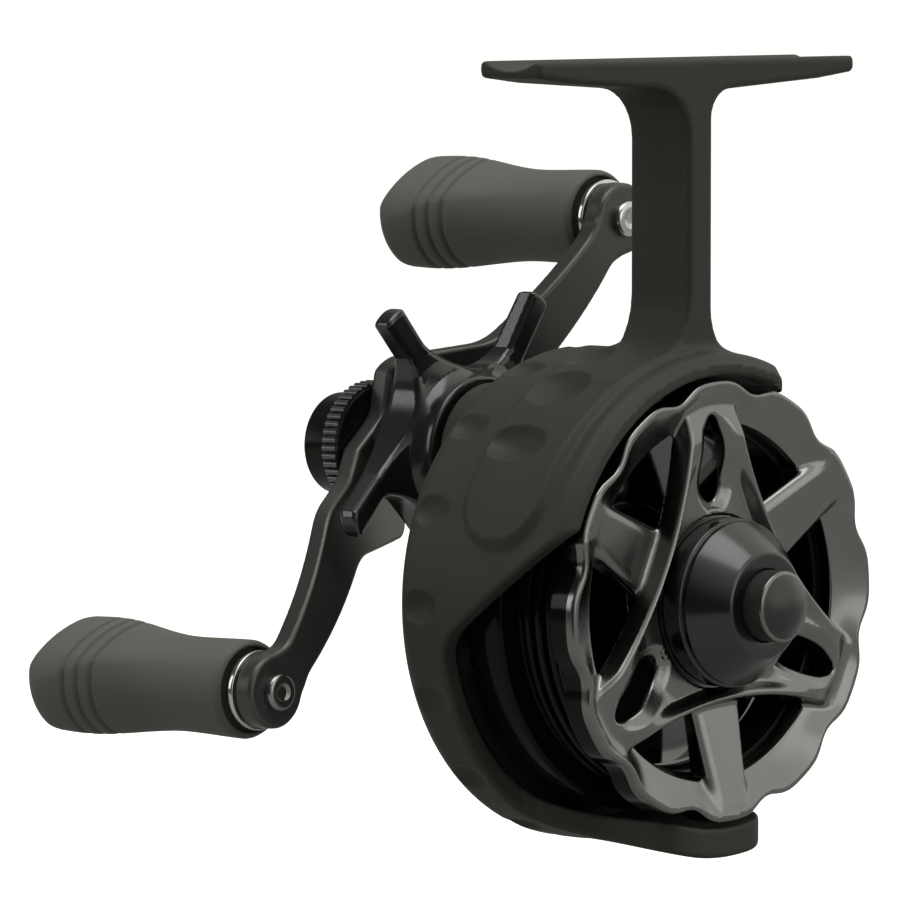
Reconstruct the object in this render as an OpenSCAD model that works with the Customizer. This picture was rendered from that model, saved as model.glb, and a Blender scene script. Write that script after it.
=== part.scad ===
// Inline ice-fishing reel, modelled in millimetres.
// The origin is the middle of the foot's top face. X runs along the spool axis towards the
// spool face, Y runs along the rod towards its tip and Z is up.
// Stations along the spool axis are measured from the plane of the face ring's inner edge,
// positive towards the face.

/* [Foot and stem] */
// Height of the foot's top face above the spool axis
axis_drop = 64; // [60:0.5:72]
// Length of the foot in front of the stem
foot_front = 26.6; // [20:0.2:34]
// Length of the foot behind the stem
foot_rear = 28.6; // [20:0.2:36]
// Width of the foot and the stem along the spool axis
foot_w = 9.8; // [8.5:0.1:12]
// Thickness of the foot beside the stem
foot_t = 3.9; // [3.2:0.1:5]
// Thickness of the foot at its tips
foot_tip_t = 2; // [1.4:0.1:2.6]
// Radius of the saddle channel along the foot's top
saddle_r = 8; // [6:0.1:12]
// Depth of the saddle channel
saddle_depth = 1.2; // [0.3:0.1:1.3]
// Thickness of the stem along the rod
stem_t = 4; // [3:0.1:6]
// Fillet between the stem and the front of the foot
stem_front_fillet = 3.5; // [2:0.1:6]
// Fillet between the stem and the rear of the foot
stem_rear_fillet = 6; // [2:0.1:8]
// Fillet between the stem and the cup, in front
stem_base_front = 7; // [4:0.1:9]
// Fillet between the stem and the cup, behind
stem_base_rear = 9.5; // [4:0.1:10]
// Distance of the stem's middle behind the spool axis
stem_set = 0.75; // [0:0.05:2]

/* [Frame cup] */
// Thickness of the cup's round wall
cup_wall = 2.6; // [2:0.1:3]
// Thickness of the cup's back wall
back_wall = 2; // [1.6:0.1:3]
// Depth of the cup's back face behind the face ring
cup_depth = 24.4; // [23.8:0.1:30]
// Radius of the rounded back corner
corner_r = 3.2; // [1:0.1:5]
// Depth of the recessed rim behind the face ring
rim_depth = 16.6; // [14:0.1:17]
// Reach of the brim in front of the face ring's inner edge
brim_reach = 2; // [0.5:0.1:4]
// Angle of the brim's front end, from the rod's direction
lip_angle = 68; // [55:1:80]
// Height above the spool axis where the brim's rear edge starts to slope back
brim_rear_z = 9.9; // [4:0.1:16]
// Height relative to the spool axis where the sloping edge meets the recessed rim
brim_foot_z = -4; // [-12:0.1:2]
// Width of the bottom tongue along the rod
tongue_w = 17; // [12:0.5:24]
// Reach of the bottom tongue in front of the face ring's inner edge
tongue_reach = 2; // [0:0.1:4]
// How far the bottom tongue flares out beyond the cup
tongue_flare = 1; // [0.2:0.1:2.6]
// Radius of the tongue's front corners
tongue_corner = 4; // [1:0.1:6]
// Radius of the sweep from the recessed rim into the tongue
tongue_sweep = 9; // [4:0.1:11]
// Height of the thumb pad above the cup
pad_height = 0.9; // [0.4:0.1:1.6]
// Width of the thumb pad at its round end
pad_w = 12; // [8:0.1:14]
// Depth of the small dimples round the back corner
dimple_depth = 0.55; // [0.2:0.05:1]
// Radius of the ball that cuts a dimple
dimple_ball = 7; // [5:0.1:12]
// Number of steps round the cup in the row of small dimples
dimple_count = 16; // [8:1:24]

/* [Spool] */
// Radius of the spool face
face_r = 26.2; // [25:0.1:26.4]
// Radial gap between the spool face and the frame
spool_gap = 0.6; // [0.4:0.1:1.6]
// Depth of the hollows round the spool face
wave_depth = 1.3; // [0.4:0.1:1.4]
// Number of hollows round the spool face
wave_count = 12; // [6:1:24]
// Width of the spool face's ring
ring_w = 5; // [3:0.1:7]
// How far the ring's outer edge stands in front of its inner edge
ring_dish = 1.9; // [0.5:0.1:3]
// Thickness of the ring
ring_t = 2; // [1.2:0.1:3]
// Depth of the line space below the edge of the spool face
line_depth = 4; // [3:0.1:5]
// Radial gap between the spool's rear flange and the frame
flange_gap = 1.3; // [0.5:0.1:2]
// Length of the rear flange's skirt
flange_l = 5.2; // [3:0.1:6]
// Number of grooves round the arbor
arbor_grooves = 4; // [2:1:6]
// Angle by which the star's points and the bars are turned at rest
face_turn = 4.7; // [0:0.1:30]
// Width of each of the three bars near the hub
bar_w = 9.6; // [6:0.1:10]
// Width of each bar at its outer end
bar_tip_w = 5.6; // [4:0.1:8]
// Depth of the bars behind the star's ridge, near the hub
bar_sink = 2.4; // [2:0.1:3]
// Distance of the star's points from the edge of the spool face
star_margin = 2.2; // [1.6:0.1:4]
// Width of the star's points
star_point_w = 8; // [5:0.1:9]
// Radius of the star's waist between its points
star_waist = 11.6; // [11.2:0.1:13]
// Station of the spool hub's front end
star_front = 3.2; // [2.6:0.1:5]
// Depth of the star's ridge behind the front end of the spool hub
ridge_set = 0.8; // [0.4:0.1:1.4]
// Thickness of the star
star_t = 2.8; // [2.5:0.1:3.4]
// Width of the leaf-shaped eyelet in each star point
eyelet_w = 4.2; // [2:0.1:5]
// Length of the eyelet in each star point
eyelet_l = 10.4; // [6:0.1:10.8]

/* [Hub cap and button] */
// Radius of the hub cap's round side
cap_base_r = 10; // [9:0.1:10.3]
// Radius of the cone's small end
cap_end_r = 6.2; // [5.6:0.1:8]
// Height of the cone
cap_h = 4.4; // [3.6:0.1:7]
// Height of the cap's round side in front of the spool hub
cap_side = 1; // [0.5:0.1:2]
// Depth of the cap's skirt behind the front end of the spool hub
cap_skirt = 2.6; // [1.8:0.1:2.8]
// Wall of the hub cap
cap_wall = 1.3; // [0.8:0.1:1.8]
// Radius of the release button
button_r = 4.2; // [3:0.1:4.8]
// Height of the button's round side in front of the cap
button_side = 2.6; // [2:0.1:4]
// Height of the button's dome
button_dome = 1.6; // [0.6:0.1:2.4]
// Travel of the button
button_travel = 1.5; // [0.8:0.1:1.8]

/* [Handle] */
// Distance of the handle axis inside the cup's round wall
handle_inset = 8.68; // [8.4:0.02:10]
// Direction of the handle axis from the spool axis, from the rod's direction
handle_angle = 114.4; // [100:0.2:130]
// Distance from the handle axis to each grip
crank_r = 40.5; // [34:0.5:48]
// Angle of the handle arm at rest, from the rod's direction
arm_angle = 41.8; // [0:0.1:90]
// Thickness of the handle arm
arm_t = 2.8; // [2:0.1:4]
// Half width of the handle arm beside its ends
arm_half = 2.5; // [2.3:0.1:3.5]
// Radius of the round ends of the handle arm
arm_end_r = 4.8; // [4.2:0.1:6]
// Half width of the handle arm across its shaft
arm_hub_half = 4.5; // [4:0.1:6]
// Reach of the lobe on each side of the arm's hub
arm_lobe = 8.9; // [7.4:0.1:9.6]
// How far the arm's ends stand nearer to the frame than its hub
arm_sweep = 9.5; // [4:0.1:10]
// Reach of the bow on each half of the arm
arm_bow = 6.6; // [5:0.1:7.5]
// Depth of the arm's hub, on its side towards the frame
arm_depth = 44.5; // [44:0.1:50]
// Radius of the handle shaft
shaft_r = 2.5; // [2:0.1:2.8]
// Radius of the knurled handle nut
nut_r = 7.9; // [7:0.1:9]
// Width of the knurled band
nut_w = 2.4; // [1.6:0.1:4]
// Number of grooves round the handle nut
nut_grooves = 48; // [16:1:52]
// Length of the nut's smooth end
nut_end_l = 4.5; // [2.8:0.1:6]
// Radius of the nut's smooth end
nut_dome_r = 6.2; // [4:0.1:6.8]

/* [Grips] */
// Length of a grip
grip_l = 32.5; // [24:0.5:40]
// Half width of a grip's paddle, near its outer end
grip_r = 7.8; // [6.6:0.1:9]
// Half thickness of a grip's paddle
grip_flat = 5.4; // [4.6:0.1:5.6]
// Half width of a grip at its waist
grip_waist_r = 5.7; // [5:0.1:6.4]
// Radius of a grip at its inner end
grip_root_r = 5.9; // [5:0.1:7]
// Angle of the upper grip's paddle at rest, from the rod's direction
upper_grip_turn = 29; // [0:1:180]
// Angle of the lower grip's paddle at rest, from the rod's direction
lower_grip_turn = 25; // [0:1:180]
// Radius of a grip's spindle
spindle_r = 1.9; // [1.4:0.1:2.4]
// Radius of the bright collar at a grip's root
collar_r = 4.1; // [3.2:0.1:4.6]
// Thickness of the bright collar
collar_t = 0.9; // [0.5:0.1:2]

/* [Star drag] */
// Number of fingers on the star drag
finger_count = 5; // [4:1:6]
// Reach of the fingers from the handle axis
finger_reach = 21.8; // [18:0.1:24]
// Width of a finger's tip
finger_w = 4.8; // [3:0.1:6]
// Thickness of the fingers
finger_t = 3; // [2:0.1:4]
// Radius of the star drag between its fingers
finger_waist = 10; // [9.5:0.1:13]
// Angle by which the fingers curl from root to tip
finger_curl = 12; // [0:1:20]
// How far the finger tips lean towards the frame
finger_lean = 4.6; // [2:0.1:6]
// Angle of one finger at rest, from the rod's direction
finger_angle = 57.5; // [0:0.5:72]
// Radius of the star drag's hub
drag_hub_r = 9.2; // [7.5:0.1:9.4]
// Length of the star drag's hub up to its fingers
drag_hub_l = 5.6; // [4:0.1:7]

/* [Gears] */
// Straightness of the gear train: 1 when its three axes are in line
gear_fold = 0.93; // [0.86:0.01:0.97]
// Teeth on the drive gear
drive_teeth = 30; // [28:1:30]
// Teeth on the idler gear
idler_teeth = 18; // [18:1:20]
// Teeth on the pinion
pinion_teeth = 12; // [12:1:14]
// Face width of the gears
gear_w = 1.5; // [1.2:0.1:1.8]
// Play between meshing teeth
backlash = 0.08; // [0.04:0.01:0.15]
// Height of a tooth above the pitch circle, in modules
tooth_addendum = 0.8; // [0.7:0.05:0.85]

/* [Fits] */
// Radial clearance of running fits
run_fit = 0.06; // [0.02:0.01:0.1]
// Radial clearance of pieces that seat in a pocket
seat_fit = 0.02; // [0.01:0.01:0.05]
// Gap between faces that pass each other
face_gap = 0.3; // [0.1:0.05:0.4]

/* [Hidden] */
$fn = 64;

// The spool face stands this far in front of the foot's middle
face_x = 6;
stem_mid = -face_x;
over = 1;
big = 60;

// Colours
soft_black = "#3a3b36";
gloss_black = "#1d1e20";
gunmetal = "#3b3d40";
satin_black = "#232426";
grip_grey = "#585552";
steel = "#9a9b9d";
bright = "#c9cacc";
brass_tone = "#b08d4a";

// Cup
cup_bore = face_r + spool_gap;
cup_r = cup_bore + cup_wall;
tongue_r = cup_r + tongue_flare;
back_x = -cup_depth;
floor_x = back_x + back_wall;
rim_x = -rim_depth;
brim_chamfer = 1.4;
lip_round = cup_wall / 2 - 0.1;
pad_mid_angle = 150;
pad_mid_x = -8.6;
pad_low = -7.8;
pad_top = 20;
dimple_x = -20;
large_dimples = [[122, -10], [140, -10]];
large_ball = 10;

// Gear space
plate_t = 1.4;
plate_x = floor_x + 4.2;
plate_front = plate_x + plate_t;
screw_r = 1;
screw_head_r = 1.9;
screw_head_t = 0.7;
post_r = 2.2;
post_inset = 3.2;
post_place_r = cup_bore - post_inset;
post_angles = [20, 195, 285];
screw_bite = 3;

// Bearings on the spool shaft
spool_shaft_r = 1.5;
bearing_r = 3.5;
rear_bearing_w = 2.4;
front_bearing_w = 3;
rear_boss_r = 6;
rear_boss_l = 1.2;
rear_pocket_x = back_x - rear_boss_l + 0.8;
tube_r = bearing_r + 1.6;
tube_l = 7.4;
tube_end = plate_front + tube_l;

// Drive hub and spool hub
hex_r = 4.6;
hex_play = 0.1;
hub_gap = 0.4;
hub_start = tube_end + hub_gap;
hub_front_wall = 0.8;
spool_hub_r = 7.2;
web_t = 1.8;
hub_end = star_front - hub_front_wall;
drum_start = plate_front + screw_head_t + 0.5;
drum_wall = 1.8;
drum_front = -ring_t;
front_lip_t = 1.2;
groove_depth = 0.9;
shaft_tip = star_front + 2.6;
latch_t = 0.8;
latch_x = star_front;
latch_wire = 1;
wave_turn = 93;
ring_edge = 1.4;
bar_edge = 1.8;
ridge_front = star_front - ridge_set;
flange_r = cup_bore - flange_gap;
arbor_r = face_r - line_depth;
ring_r = face_r - ring_w;
star_reach = face_r - star_margin;
bar_reach = face_r - bar_edge;

// Button
cap_seat = star_front - cap_skirt;
cap_cone_x = star_front + cap_side;
cap_end_x = cap_cone_x + cap_h;
button_collar_r = button_r + 0.8;
button_collar_t = 0.8;
button_collar_x = cap_end_x - cap_wall - button_collar_t;
button_socket_r = spool_shaft_r + 0.5;
spring_wire = 0.5;
spring_r = 3.2;
spring_turns = 4;
spring_sides = 6;
spring_rings = 12;

// Handle axis stations
clutch_r = 7;
boss_wall = 1.4;
boss_end = back_x - 5.2;
sleeve_r = 4;
handle_bearing_w = 2.2;
bush_r = 3.2;
shaft_inner_r = 2;
shaft_flange_t = 0.6;
shaft_flange_r = 5.6;
washer_r = 6;
washer_t = 0.4;
plate_disc_t = 0.5;
flange_x = plate_x - face_gap;
washer_x = flange_x - shaft_flange_t;
gear_x = washer_x - washer_t;
washer2_x = gear_x - gear_w;
pressure_x = washer2_x - washer_t;
sleeve_x = pressure_x - plate_disc_t;
drag_x = boss_end - 0.4;
drag_pocket = 1.6;
drag_pocket_r = 5;
finger_root = drag_x - drag_hub_l;
drag_end = finger_root - finger_t;
arm_x = -arm_depth;
arm_flat = 5;
arm_level = collar_r + 0.3;
arm_neck = 4;
nut_x = arm_x - arm_t;
nut_dome_h = 0.9;
shaft_end = nut_x - nut_w - 1.2;
shaft_flat = 1.6;
knurl_depth = 0.3;
knurl_w = 0.45;

// Grips
arm_end_x = arm_x + arm_sweep;
collar_x = arm_end_x - arm_t;
grip_x = collar_x - collar_t - face_gap;
spindle_end = grip_x - grip_l + 5;
spindle_head_r = spindle_r + 0.3;
spindle_head_t = 1.1;
grip_dome = 4.3;
grip_round = 4.6;
grip_body = grip_l - grip_dome;
paddle_set = 11;
grip_grooves = 3;
grip_groove_start = 3.1;
grip_groove_gap = 2.05;
grip_groove_w = 0.5;
grip_groove_depth = 0.35;

// Gear layout: the idler sits beside the line from the spool to the handle
handle_dist = cup_bore - handle_inset;
handle_y = handle_dist * cos(handle_angle);
handle_z = handle_dist * sin(handle_angle);
gear_module = 2 * handle_dist / gear_fold / (drive_teeth + 2 * idler_teeth + pinion_teeth);
pitch_drive = gear_module * drive_teeth / 2;
pitch_idler = gear_module * idler_teeth / 2;
pitch_pinion = gear_module * pinion_teeth / 2;
drive_to_idler = pitch_drive + pitch_idler;
idler_to_pinion = pitch_idler + pitch_pinion;
idler_turn = acos((pow(idler_to_pinion, 2) + pow(handle_dist, 2) - pow(drive_to_idler, 2))
    / (2 * idler_to_pinion * handle_dist));
idler_dir = handle_angle - idler_turn;
idler_pos = idler_to_pinion * [cos(idler_dir), sin(idler_dir)];
mesh_dir = atan2(idler_pos[1] - handle_z, idler_pos[0] - handle_y);
idler_phase = mesh_dir + 180 - 360 / idler_teeth * (0.5 - mesh_dir * drive_teeth / 360);
pinion_side = idler_dir + 180;
pinion_phase = idler_dir
    - 360 / pinion_teeth * (0.5 - (pinion_side - idler_phase) * idler_teeth / 360);
idler_pin_r = 1;
idler_hub_r = idler_pin_r + 1.2;
pinion_hub_r = spool_shaft_r + 0.7;
gear_mid = gear_x - gear_w / 2;

// Turns local z to the spool axis, local x to the rod and local y upwards
module on_axis() {
    translate([face_x, 0, -axis_drop]) rotate([90, 0, 90]) children();
}

module on_handle() {
    on_axis() translate([handle_y, handle_z, 0]) children();
}

// A round bar between two stations
module bar(r, from, to) {
    translate([0, 0, min(from, to)]) cylinder(r = r, h = abs(to - from));
}

// A ring between two stations
module ring(r, bore, from, to) {
    difference() {
        bar(r, from, to);
        bar(bore, min(from, to) - over, max(from, to) + over);
    }
}

// Corner points of a closed outline, each [x, y, radius], become arcs of that radius
function arc_points(a, b, c, steps = 8) = let (
    p = [b[0], b[1]],
    u = [a[0] - b[0], a[1] - b[1]] / norm([a[0] - b[0], a[1] - b[1]]),
    v = [c[0] - b[0], c[1] - b[1]] / norm([c[0] - b[0], c[1] - b[1]]),
    half = acos(u * v) / 2,
    reach = b[2] / tan(half),
    centre = p + (u + v) / norm(u + v) * b[2] / sin(half),
    from = p + u * reach - centre,
    to = p + v * reach - centre,
    start = atan2(from[1], from[0]),
    turn = atan2(from[0] * to[1] - from[1] * to[0], from * to)
) b[2] == 0 ? [p] : [for (i = [0 : steps])
    centre + b[2] * [cos(start + turn * i / steps), sin(start + turn * i / steps)]];

function rounded(points) = let (n = len(points)) [for (i = [0 : n - 1])
    each arc_points(points[(i + n - 1) % n], points[i], points[(i + 1) % n])];

// Involute gear outline
function involute(base, r) = sqrt(max(0, pow(r / base, 2) - 1)) * 180 / PI - acos(min(1, base / r));

module gear_outline(teeth, phase) {
    pressure = 20;
    flank_steps = 5;
    pitch = gear_module * teeth / 2;
    base = pitch * cos(pressure);
    tip = pitch + gear_module * tooth_addendum;
    root = pitch - gear_module * 1.2;
    half_pitch = 90 / teeth - backlash / pitch * 90 / PI;
    function half_at(r) = half_pitch + involute(base, pitch) - involute(base, max(r, base));
    radii = [for (i = [0 : flank_steps]) root + (tip - root) * i / flank_steps];
    polygon([for (t = [0 : teeth - 1])
        let (mid = phase + 360 * t / teeth)
        each concat(
            [for (r = radii) r * [cos(mid - half_at(r)), sin(mid - half_at(r))]],
            [for (i = [flank_steps : -1 : 0]) let (r = radii[i])
                r * [cos(mid + half_at(r)), sin(mid + half_at(r))]])]);
}

module gear(teeth, phase, bore) {
    difference() {
        translate([0, 0, gear_x - gear_w]) linear_extrude(gear_w) gear_outline(teeth, phase);
        bar(bore, gear_x - gear_w - over, gear_x + over);
    }
}

// Frame: foot and stem, drawn as seen along the spool axis
module foot_and_stem() {
    front = stem_t / 2 - stem_set;
    rear = -stem_t / 2 - stem_set;
    seat_y = 14;
    seat_z = -axis_drop + sqrt(pow(cup_r, 2) - pow(seat_y, 2));
    root_z = seat_z - cup_wall;
    base_z = -axis_drop + cup_r - 0.4;
    knee = 6;
    tip_round = 0.7;
    outline = rounded([
        [-foot_rear, 0, tip_round], [foot_front, 0, tip_round],
        [foot_front, -foot_tip_t, tip_round], [foot_front - knee, -foot_tip_t - tip_round, knee],
        [front, -foot_t, stem_front_fillet], [front, base_z, stem_base_front],
        [seat_y, seat_z, 0], [seat_y, root_z, 0], [-seat_y, root_z, 0], [-seat_y, seat_z, 0],
        [rear, base_z, stem_base_rear], [rear, -foot_t, stem_rear_fillet],
        [-foot_rear + knee, -foot_tip_t - tip_round, knee], [-foot_rear, -foot_tip_t, tip_round]]);
    difference() {
        translate([-foot_w / 2, 0, 0]) rotate([90, 0, 90]) linear_extrude(foot_w) polygon(outline);
        translate([0, -big, saddle_r - saddle_depth]) rotate([-90, 0, 0]) cylinder(r = saddle_r, h = 2 * big);
    }
}

// The cup before its front is cut away, turned round the spool axis
module cup_blank() {
    length = cup_depth + brim_reach;
    translate([0, 0, back_x]) rotate_extrude($fn = 128) difference() {
        union() {
            square([cup_r - corner_r, length]);
            translate([0, corner_r]) square([cup_r, length - corner_r - brim_chamfer]);
            translate([cup_r - corner_r, corner_r]) circle(corner_r);
            polygon([[0, length - brim_chamfer], [cup_r, length - brim_chamfer],
                [cup_r - brim_chamfer, length], [0, length]]);
        }
        translate([-over, back_wall]) square([cup_bore + over, length]);
    }
}

// Space cut from the front of the cup, behind the stem
module rear_cut() {
    edge = rounded([[rim_x, -big, 0], [rim_x, brim_foot_z, 5], [brim_reach, brim_rear_z, 4],
        [brim_reach + big, brim_rear_z, 0], [brim_reach + big, -big, 0]]);
    translate([face_x, 0, -axis_drop]) rotate([90, 0, 0]) linear_extrude(big) polygon(edge);
}

// Space cut from the front of the cup, where the line leaves
module front_cut() {
    end = [cos(lip_angle), sin(lip_angle)] * big;
    on_axis() translate([0, 0, rim_x]) linear_extrude(big)
        polygon([[0, 0], end, [big, end[1]], [big, -big], [0, -big]]);
}

module lip() {
    mid = cup_r - cup_wall / 2;
    on_axis() translate([mid * cos(lip_angle), mid * sin(lip_angle), rim_x])
        cylinder(r = lip_round, h = rim_depth + brim_reach - brim_chamfer);
}

// Tongue under the spool, drawn as seen from below
module tongue() {
    half = tongue_w / 2;
    root = half + tongue_sweep;
    outline = rounded([[rim_x - over, -root, 0], [rim_x, -root, 0], [rim_x, -half, tongue_sweep],
        [tongue_reach, -half, tongue_corner], [tongue_reach, half, tongue_corner],
        [rim_x, half, tongue_sweep], [rim_x, root, 0], [rim_x - over, root, 0]]);
    intersection() {
        translate([face_x, 0, -axis_drop - big]) linear_extrude(big) polygon(outline);
        on_axis() rotate_extrude($fn = 128) polygon([[cup_bore, rim_x - over], [cup_r, rim_x - over],
            [tongue_r, tongue_reach], [tongue_r, tongue_reach + over], [cup_bore, tongue_reach + over]]);
    }
}

// Thumb pad: a raised tongue-shaped field on the brim behind the stem
module thumb_pad() {
    half = pad_w / 2;
    field = rounded([[-half, pad_low, half * 0.98], [half, pad_low, half * 0.98],
        [half + 2, pad_top, 0], [-half, pad_top, 0]]);
    intersection() {
        on_axis() rotate([0, 0, pad_mid_angle - 90]) translate([0, 0, pad_mid_x])
            rotate([-90, -90, 0]) linear_extrude(big) polygon(field);
        on_axis() ring(cup_r + pad_height, cup_bore + over, back_x, brim_reach, $fn = 128);
    }
}

module dimples() {
    step = 360 / dimple_count;
    on_axis() for (i = [0 : dimple_count - 1])
        rotate([0, 0, i * step]) translate([cup_r + dimple_ball - dimple_depth, 0, dimple_x])
            sphere(dimple_ball);
    on_axis() for (d = large_dimples)
        rotate([0, 0, d[0]]) translate([cup_r + pad_height + large_ball - 1.1, 0, d[1]]) sphere(large_ball);
}

// Posts for the gear plate and the seats of the bearings
module inner_bosses() {
    on_axis() {
        for (a = post_angles)
            rotate([0, 0, a]) translate([post_place_r, 0, 0]) bar(post_r, floor_x - 0.5, plate_x);
        bar(rear_boss_r, back_x - rear_boss_l, back_x + 0.5);
    }
    on_handle() bar(clutch_r + boss_wall, boss_end, back_x + 0.5);
}

module frame_bores() {
    on_axis() {
        bar(spool_shaft_r + face_gap, back_x - rear_boss_l - over, floor_x + over);
        bar(bearing_r + seat_fit, rear_pocket_x, floor_x + over);
        for (a = post_angles)
            rotate([0, 0, a]) translate([post_place_r, 0, 0])
                bar(screw_r, plate_x - screw_bite, plate_x + over);
        translate(concat(idler_pos, [0])) bar(idler_pin_r, floor_x - over, floor_x + over);
    }
    on_handle() bar(clutch_r + seat_fit, boss_end - over, floor_x + over);
}

module frame() color(soft_black) difference() {
    union() {
        difference() {
            union() {
                on_axis() cup_blank();
                foot_and_stem();
                thumb_pad();
            }
            on_axis() bar(cup_bore, floor_x, big, $fn = 128);
            rear_cut();
            front_cut();
            dimples();
        }
        tongue();
        lip();
        inner_bosses();
    }
    frame_bores();
}

module gear_plate() color(satin_black) on_axis() difference() {
    union() {
        bar(cup_bore - face_gap / 2, plate_x, plate_front);
        bar(tube_r, plate_x, tube_end);
    }
    bar(spool_shaft_r + face_gap, plate_x - over, tube_end + over);
    bar(bearing_r + seat_fit, tube_end - front_bearing_w, tube_end + over);
    translate([handle_y, handle_z, 0]) bar(bush_r + seat_fit, plate_x - over, plate_front + over);
    translate(concat(idler_pos, [0])) bar(idler_pin_r, plate_x - over, plate_x + plate_t / 2);
    for (a = post_angles)
        rotate([0, 0, a]) translate([post_place_r, 0, 0])
            bar(screw_r + seat_fit, plate_x - over, plate_front + over);
}

module plate_screws() color(steel) on_axis() for (a = post_angles)
    rotate([0, 0, a]) translate([post_place_r, 0, 0]) difference() {
        union() {
            bar(screw_r - seat_fit, plate_x - screw_bite + 0.4, plate_front + 0.1);
            bar(screw_head_r, plate_front, plate_front + screw_head_t);
        }
        translate([0, 0, plate_front + screw_head_t / 2]) linear_extrude(over)
            square([big, 0.5], center = true);
    }

module ball_bearing(r, bore, from, to) {
    groove = 0.35;
    race = (r - bore) * 0.32;
    difference() {
        ring(r, bore, from, to);
        ring(r - race, bore + race, min(from, to) - over, min(from, to) + groove);
        ring(r - race, bore + race, max(from, to) - groove, max(from, to) + over);
    }
}

module rear_bearing() color(bright) on_axis()
    ball_bearing(bearing_r, spool_shaft_r + run_fit, rear_pocket_x, rear_pocket_x + rear_bearing_w);

module front_bearing() color(bright) on_axis()
    ball_bearing(bearing_r, spool_shaft_r + run_fit, tube_end - front_bearing_w, tube_end);

module handle_bearing() color(bright) on_handle()
    ball_bearing(clutch_r, sleeve_r + run_fit, floor_x - handle_bearing_w, floor_x);

module one_way_clutch() color(steel) on_handle()
    ring(clutch_r, sleeve_r + run_fit, boss_end + 0.3, floor_x - handle_bearing_w);

module shaft_bush() color(brass_tone) on_handle()
    ring(bush_r, shaft_inner_r + run_fit, plate_x, plate_front);

module idler_pin() color(steel) on_axis() translate(concat(idler_pos, [0]))
    bar(idler_pin_r - seat_fit, floor_x - over + 0.2, plate_x + plate_t / 2 - 0.1);

module idler_gear() color(brass_tone) on_axis() translate(concat(idler_pos, [0])) {
    gear(idler_teeth, idler_phase, idler_pin_r + run_fit);
    ring(idler_hub_r, idler_pin_r + run_fit, floor_x + face_gap, gear_x - gear_w);
    ring(idler_hub_r, idler_pin_r + run_fit, gear_x, plate_x - face_gap);
}

module spool_shaft() color(steel) on_axis() difference() {
    bar(spool_shaft_r, rear_pocket_x, shaft_tip);
    ring(spool_shaft_r + over, spool_shaft_r - 0.3, latch_x - 0.1, latch_x + latch_t + 0.1);
}

module pinion_gear() color(brass_tone) on_axis() {
    gear(pinion_teeth, pinion_phase, spool_shaft_r + seat_fit);
    ring(pinion_hub_r, spool_shaft_r + seat_fit, floor_x + face_gap, gear_x - gear_w);
    ring(pinion_hub_r, spool_shaft_r + seat_fit, gear_x, plate_x - face_gap);
}

module drive_hub() color(steel) on_axis() difference() {
    translate([0, 0, hub_start]) cylinder(r = hex_r, h = hub_end - hub_start - face_gap, $fn = 6);
    bar(spool_shaft_r + seat_fit, hub_start - over, hub_end + over);
}

// Spool drum: arbor with grooves, a rear skirt, a web and a hub with a hexagonal bore
module spool_drum() color(gloss_black) on_axis() {
    groove_from = drum_front - front_lip_t;
    groove_to = drum_start + flange_l;
    step = (groove_from - groove_to) / arbor_grooves;
    difference() {
        union() {
            bar(flange_r, drum_start, groove_to, $fn = 128);
            bar(arbor_r, drum_start, drum_front, $fn = 128);
            bar(face_r - wave_depth - 0.6, groove_from, drum_front, $fn = 128);
            for (i = [1 : arbor_grooves - 1])
                bar(arbor_r + groove_depth, groove_to + (i - 0.3) * step,
                    groove_to + (i + 0.3) * step, $fn = 128);
        }
        bar(arbor_r - drum_wall, drum_start - over, drum_front + over, $fn = 128);
    }
    difference() {
        union() {
            bar(arbor_r - drum_wall + 0.2, hub_start, hub_start + web_t, $fn = 128);
            bar(spool_hub_r, hub_start, star_front);
        }
        translate([0, 0, hub_start - over])
            cylinder(r = hex_r + hex_play, h = hub_end - hub_start + over, $fn = 6);
        bar(spool_shaft_r + 0.1, hub_start, star_front + over);
    }
}

function wave_r(a) = face_r - wave_depth * pow((1 - cos(wave_count * (a - wave_turn))) / 2, 2.5);

module wavy_disc() {
    steps = wave_count * 12;
    polygon([for (i = [0 : steps - 1]) let (a = 360 * i / steps) wave_r(a) * [cos(a), sin(a)]]);
}

// Three points with hollow sides: a disc less three large circles
module star_outline() {
    half = asin(star_point_w / 2 / star_reach);
    tip = star_reach * [cos(60 - half), sin(60 - half)];
    centre = (tip * tip - pow(star_waist, 2)) / (2 * (tip[0] - star_waist));
    difference() {
        circle(star_reach);
        for (a = [30, 150, 270]) rotate(a) translate([centre, 0]) circle(centre - star_waist, $fn = 128);
    }
}

// Eyelet in a star point: a leaf with blunt ends
module eyelet() {
    end = star_reach - 1.8;
    start = end - eyelet_l;
    polygon(rounded([[start, -eyelet_w / 4, 0.9], [start + 0.5 * eyelet_l, -eyelet_w / 2, 7],
        [end, -0.8, 0.7], [end, 0.8, 0.7], [start + 0.5 * eyelet_l, eyelet_w / 2, 7],
        [start, eyelet_w / 4, 0.9]]));
}

// A bar of the face, narrow towards the ring
module bar_outline() {
    polygon([[spool_hub_r - over, -bar_w / 2], [bar_reach, -bar_tip_w / 2], [bar_reach, bar_tip_w / 2],
        [spool_hub_r - over, bar_w / 2]]);
}

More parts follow.
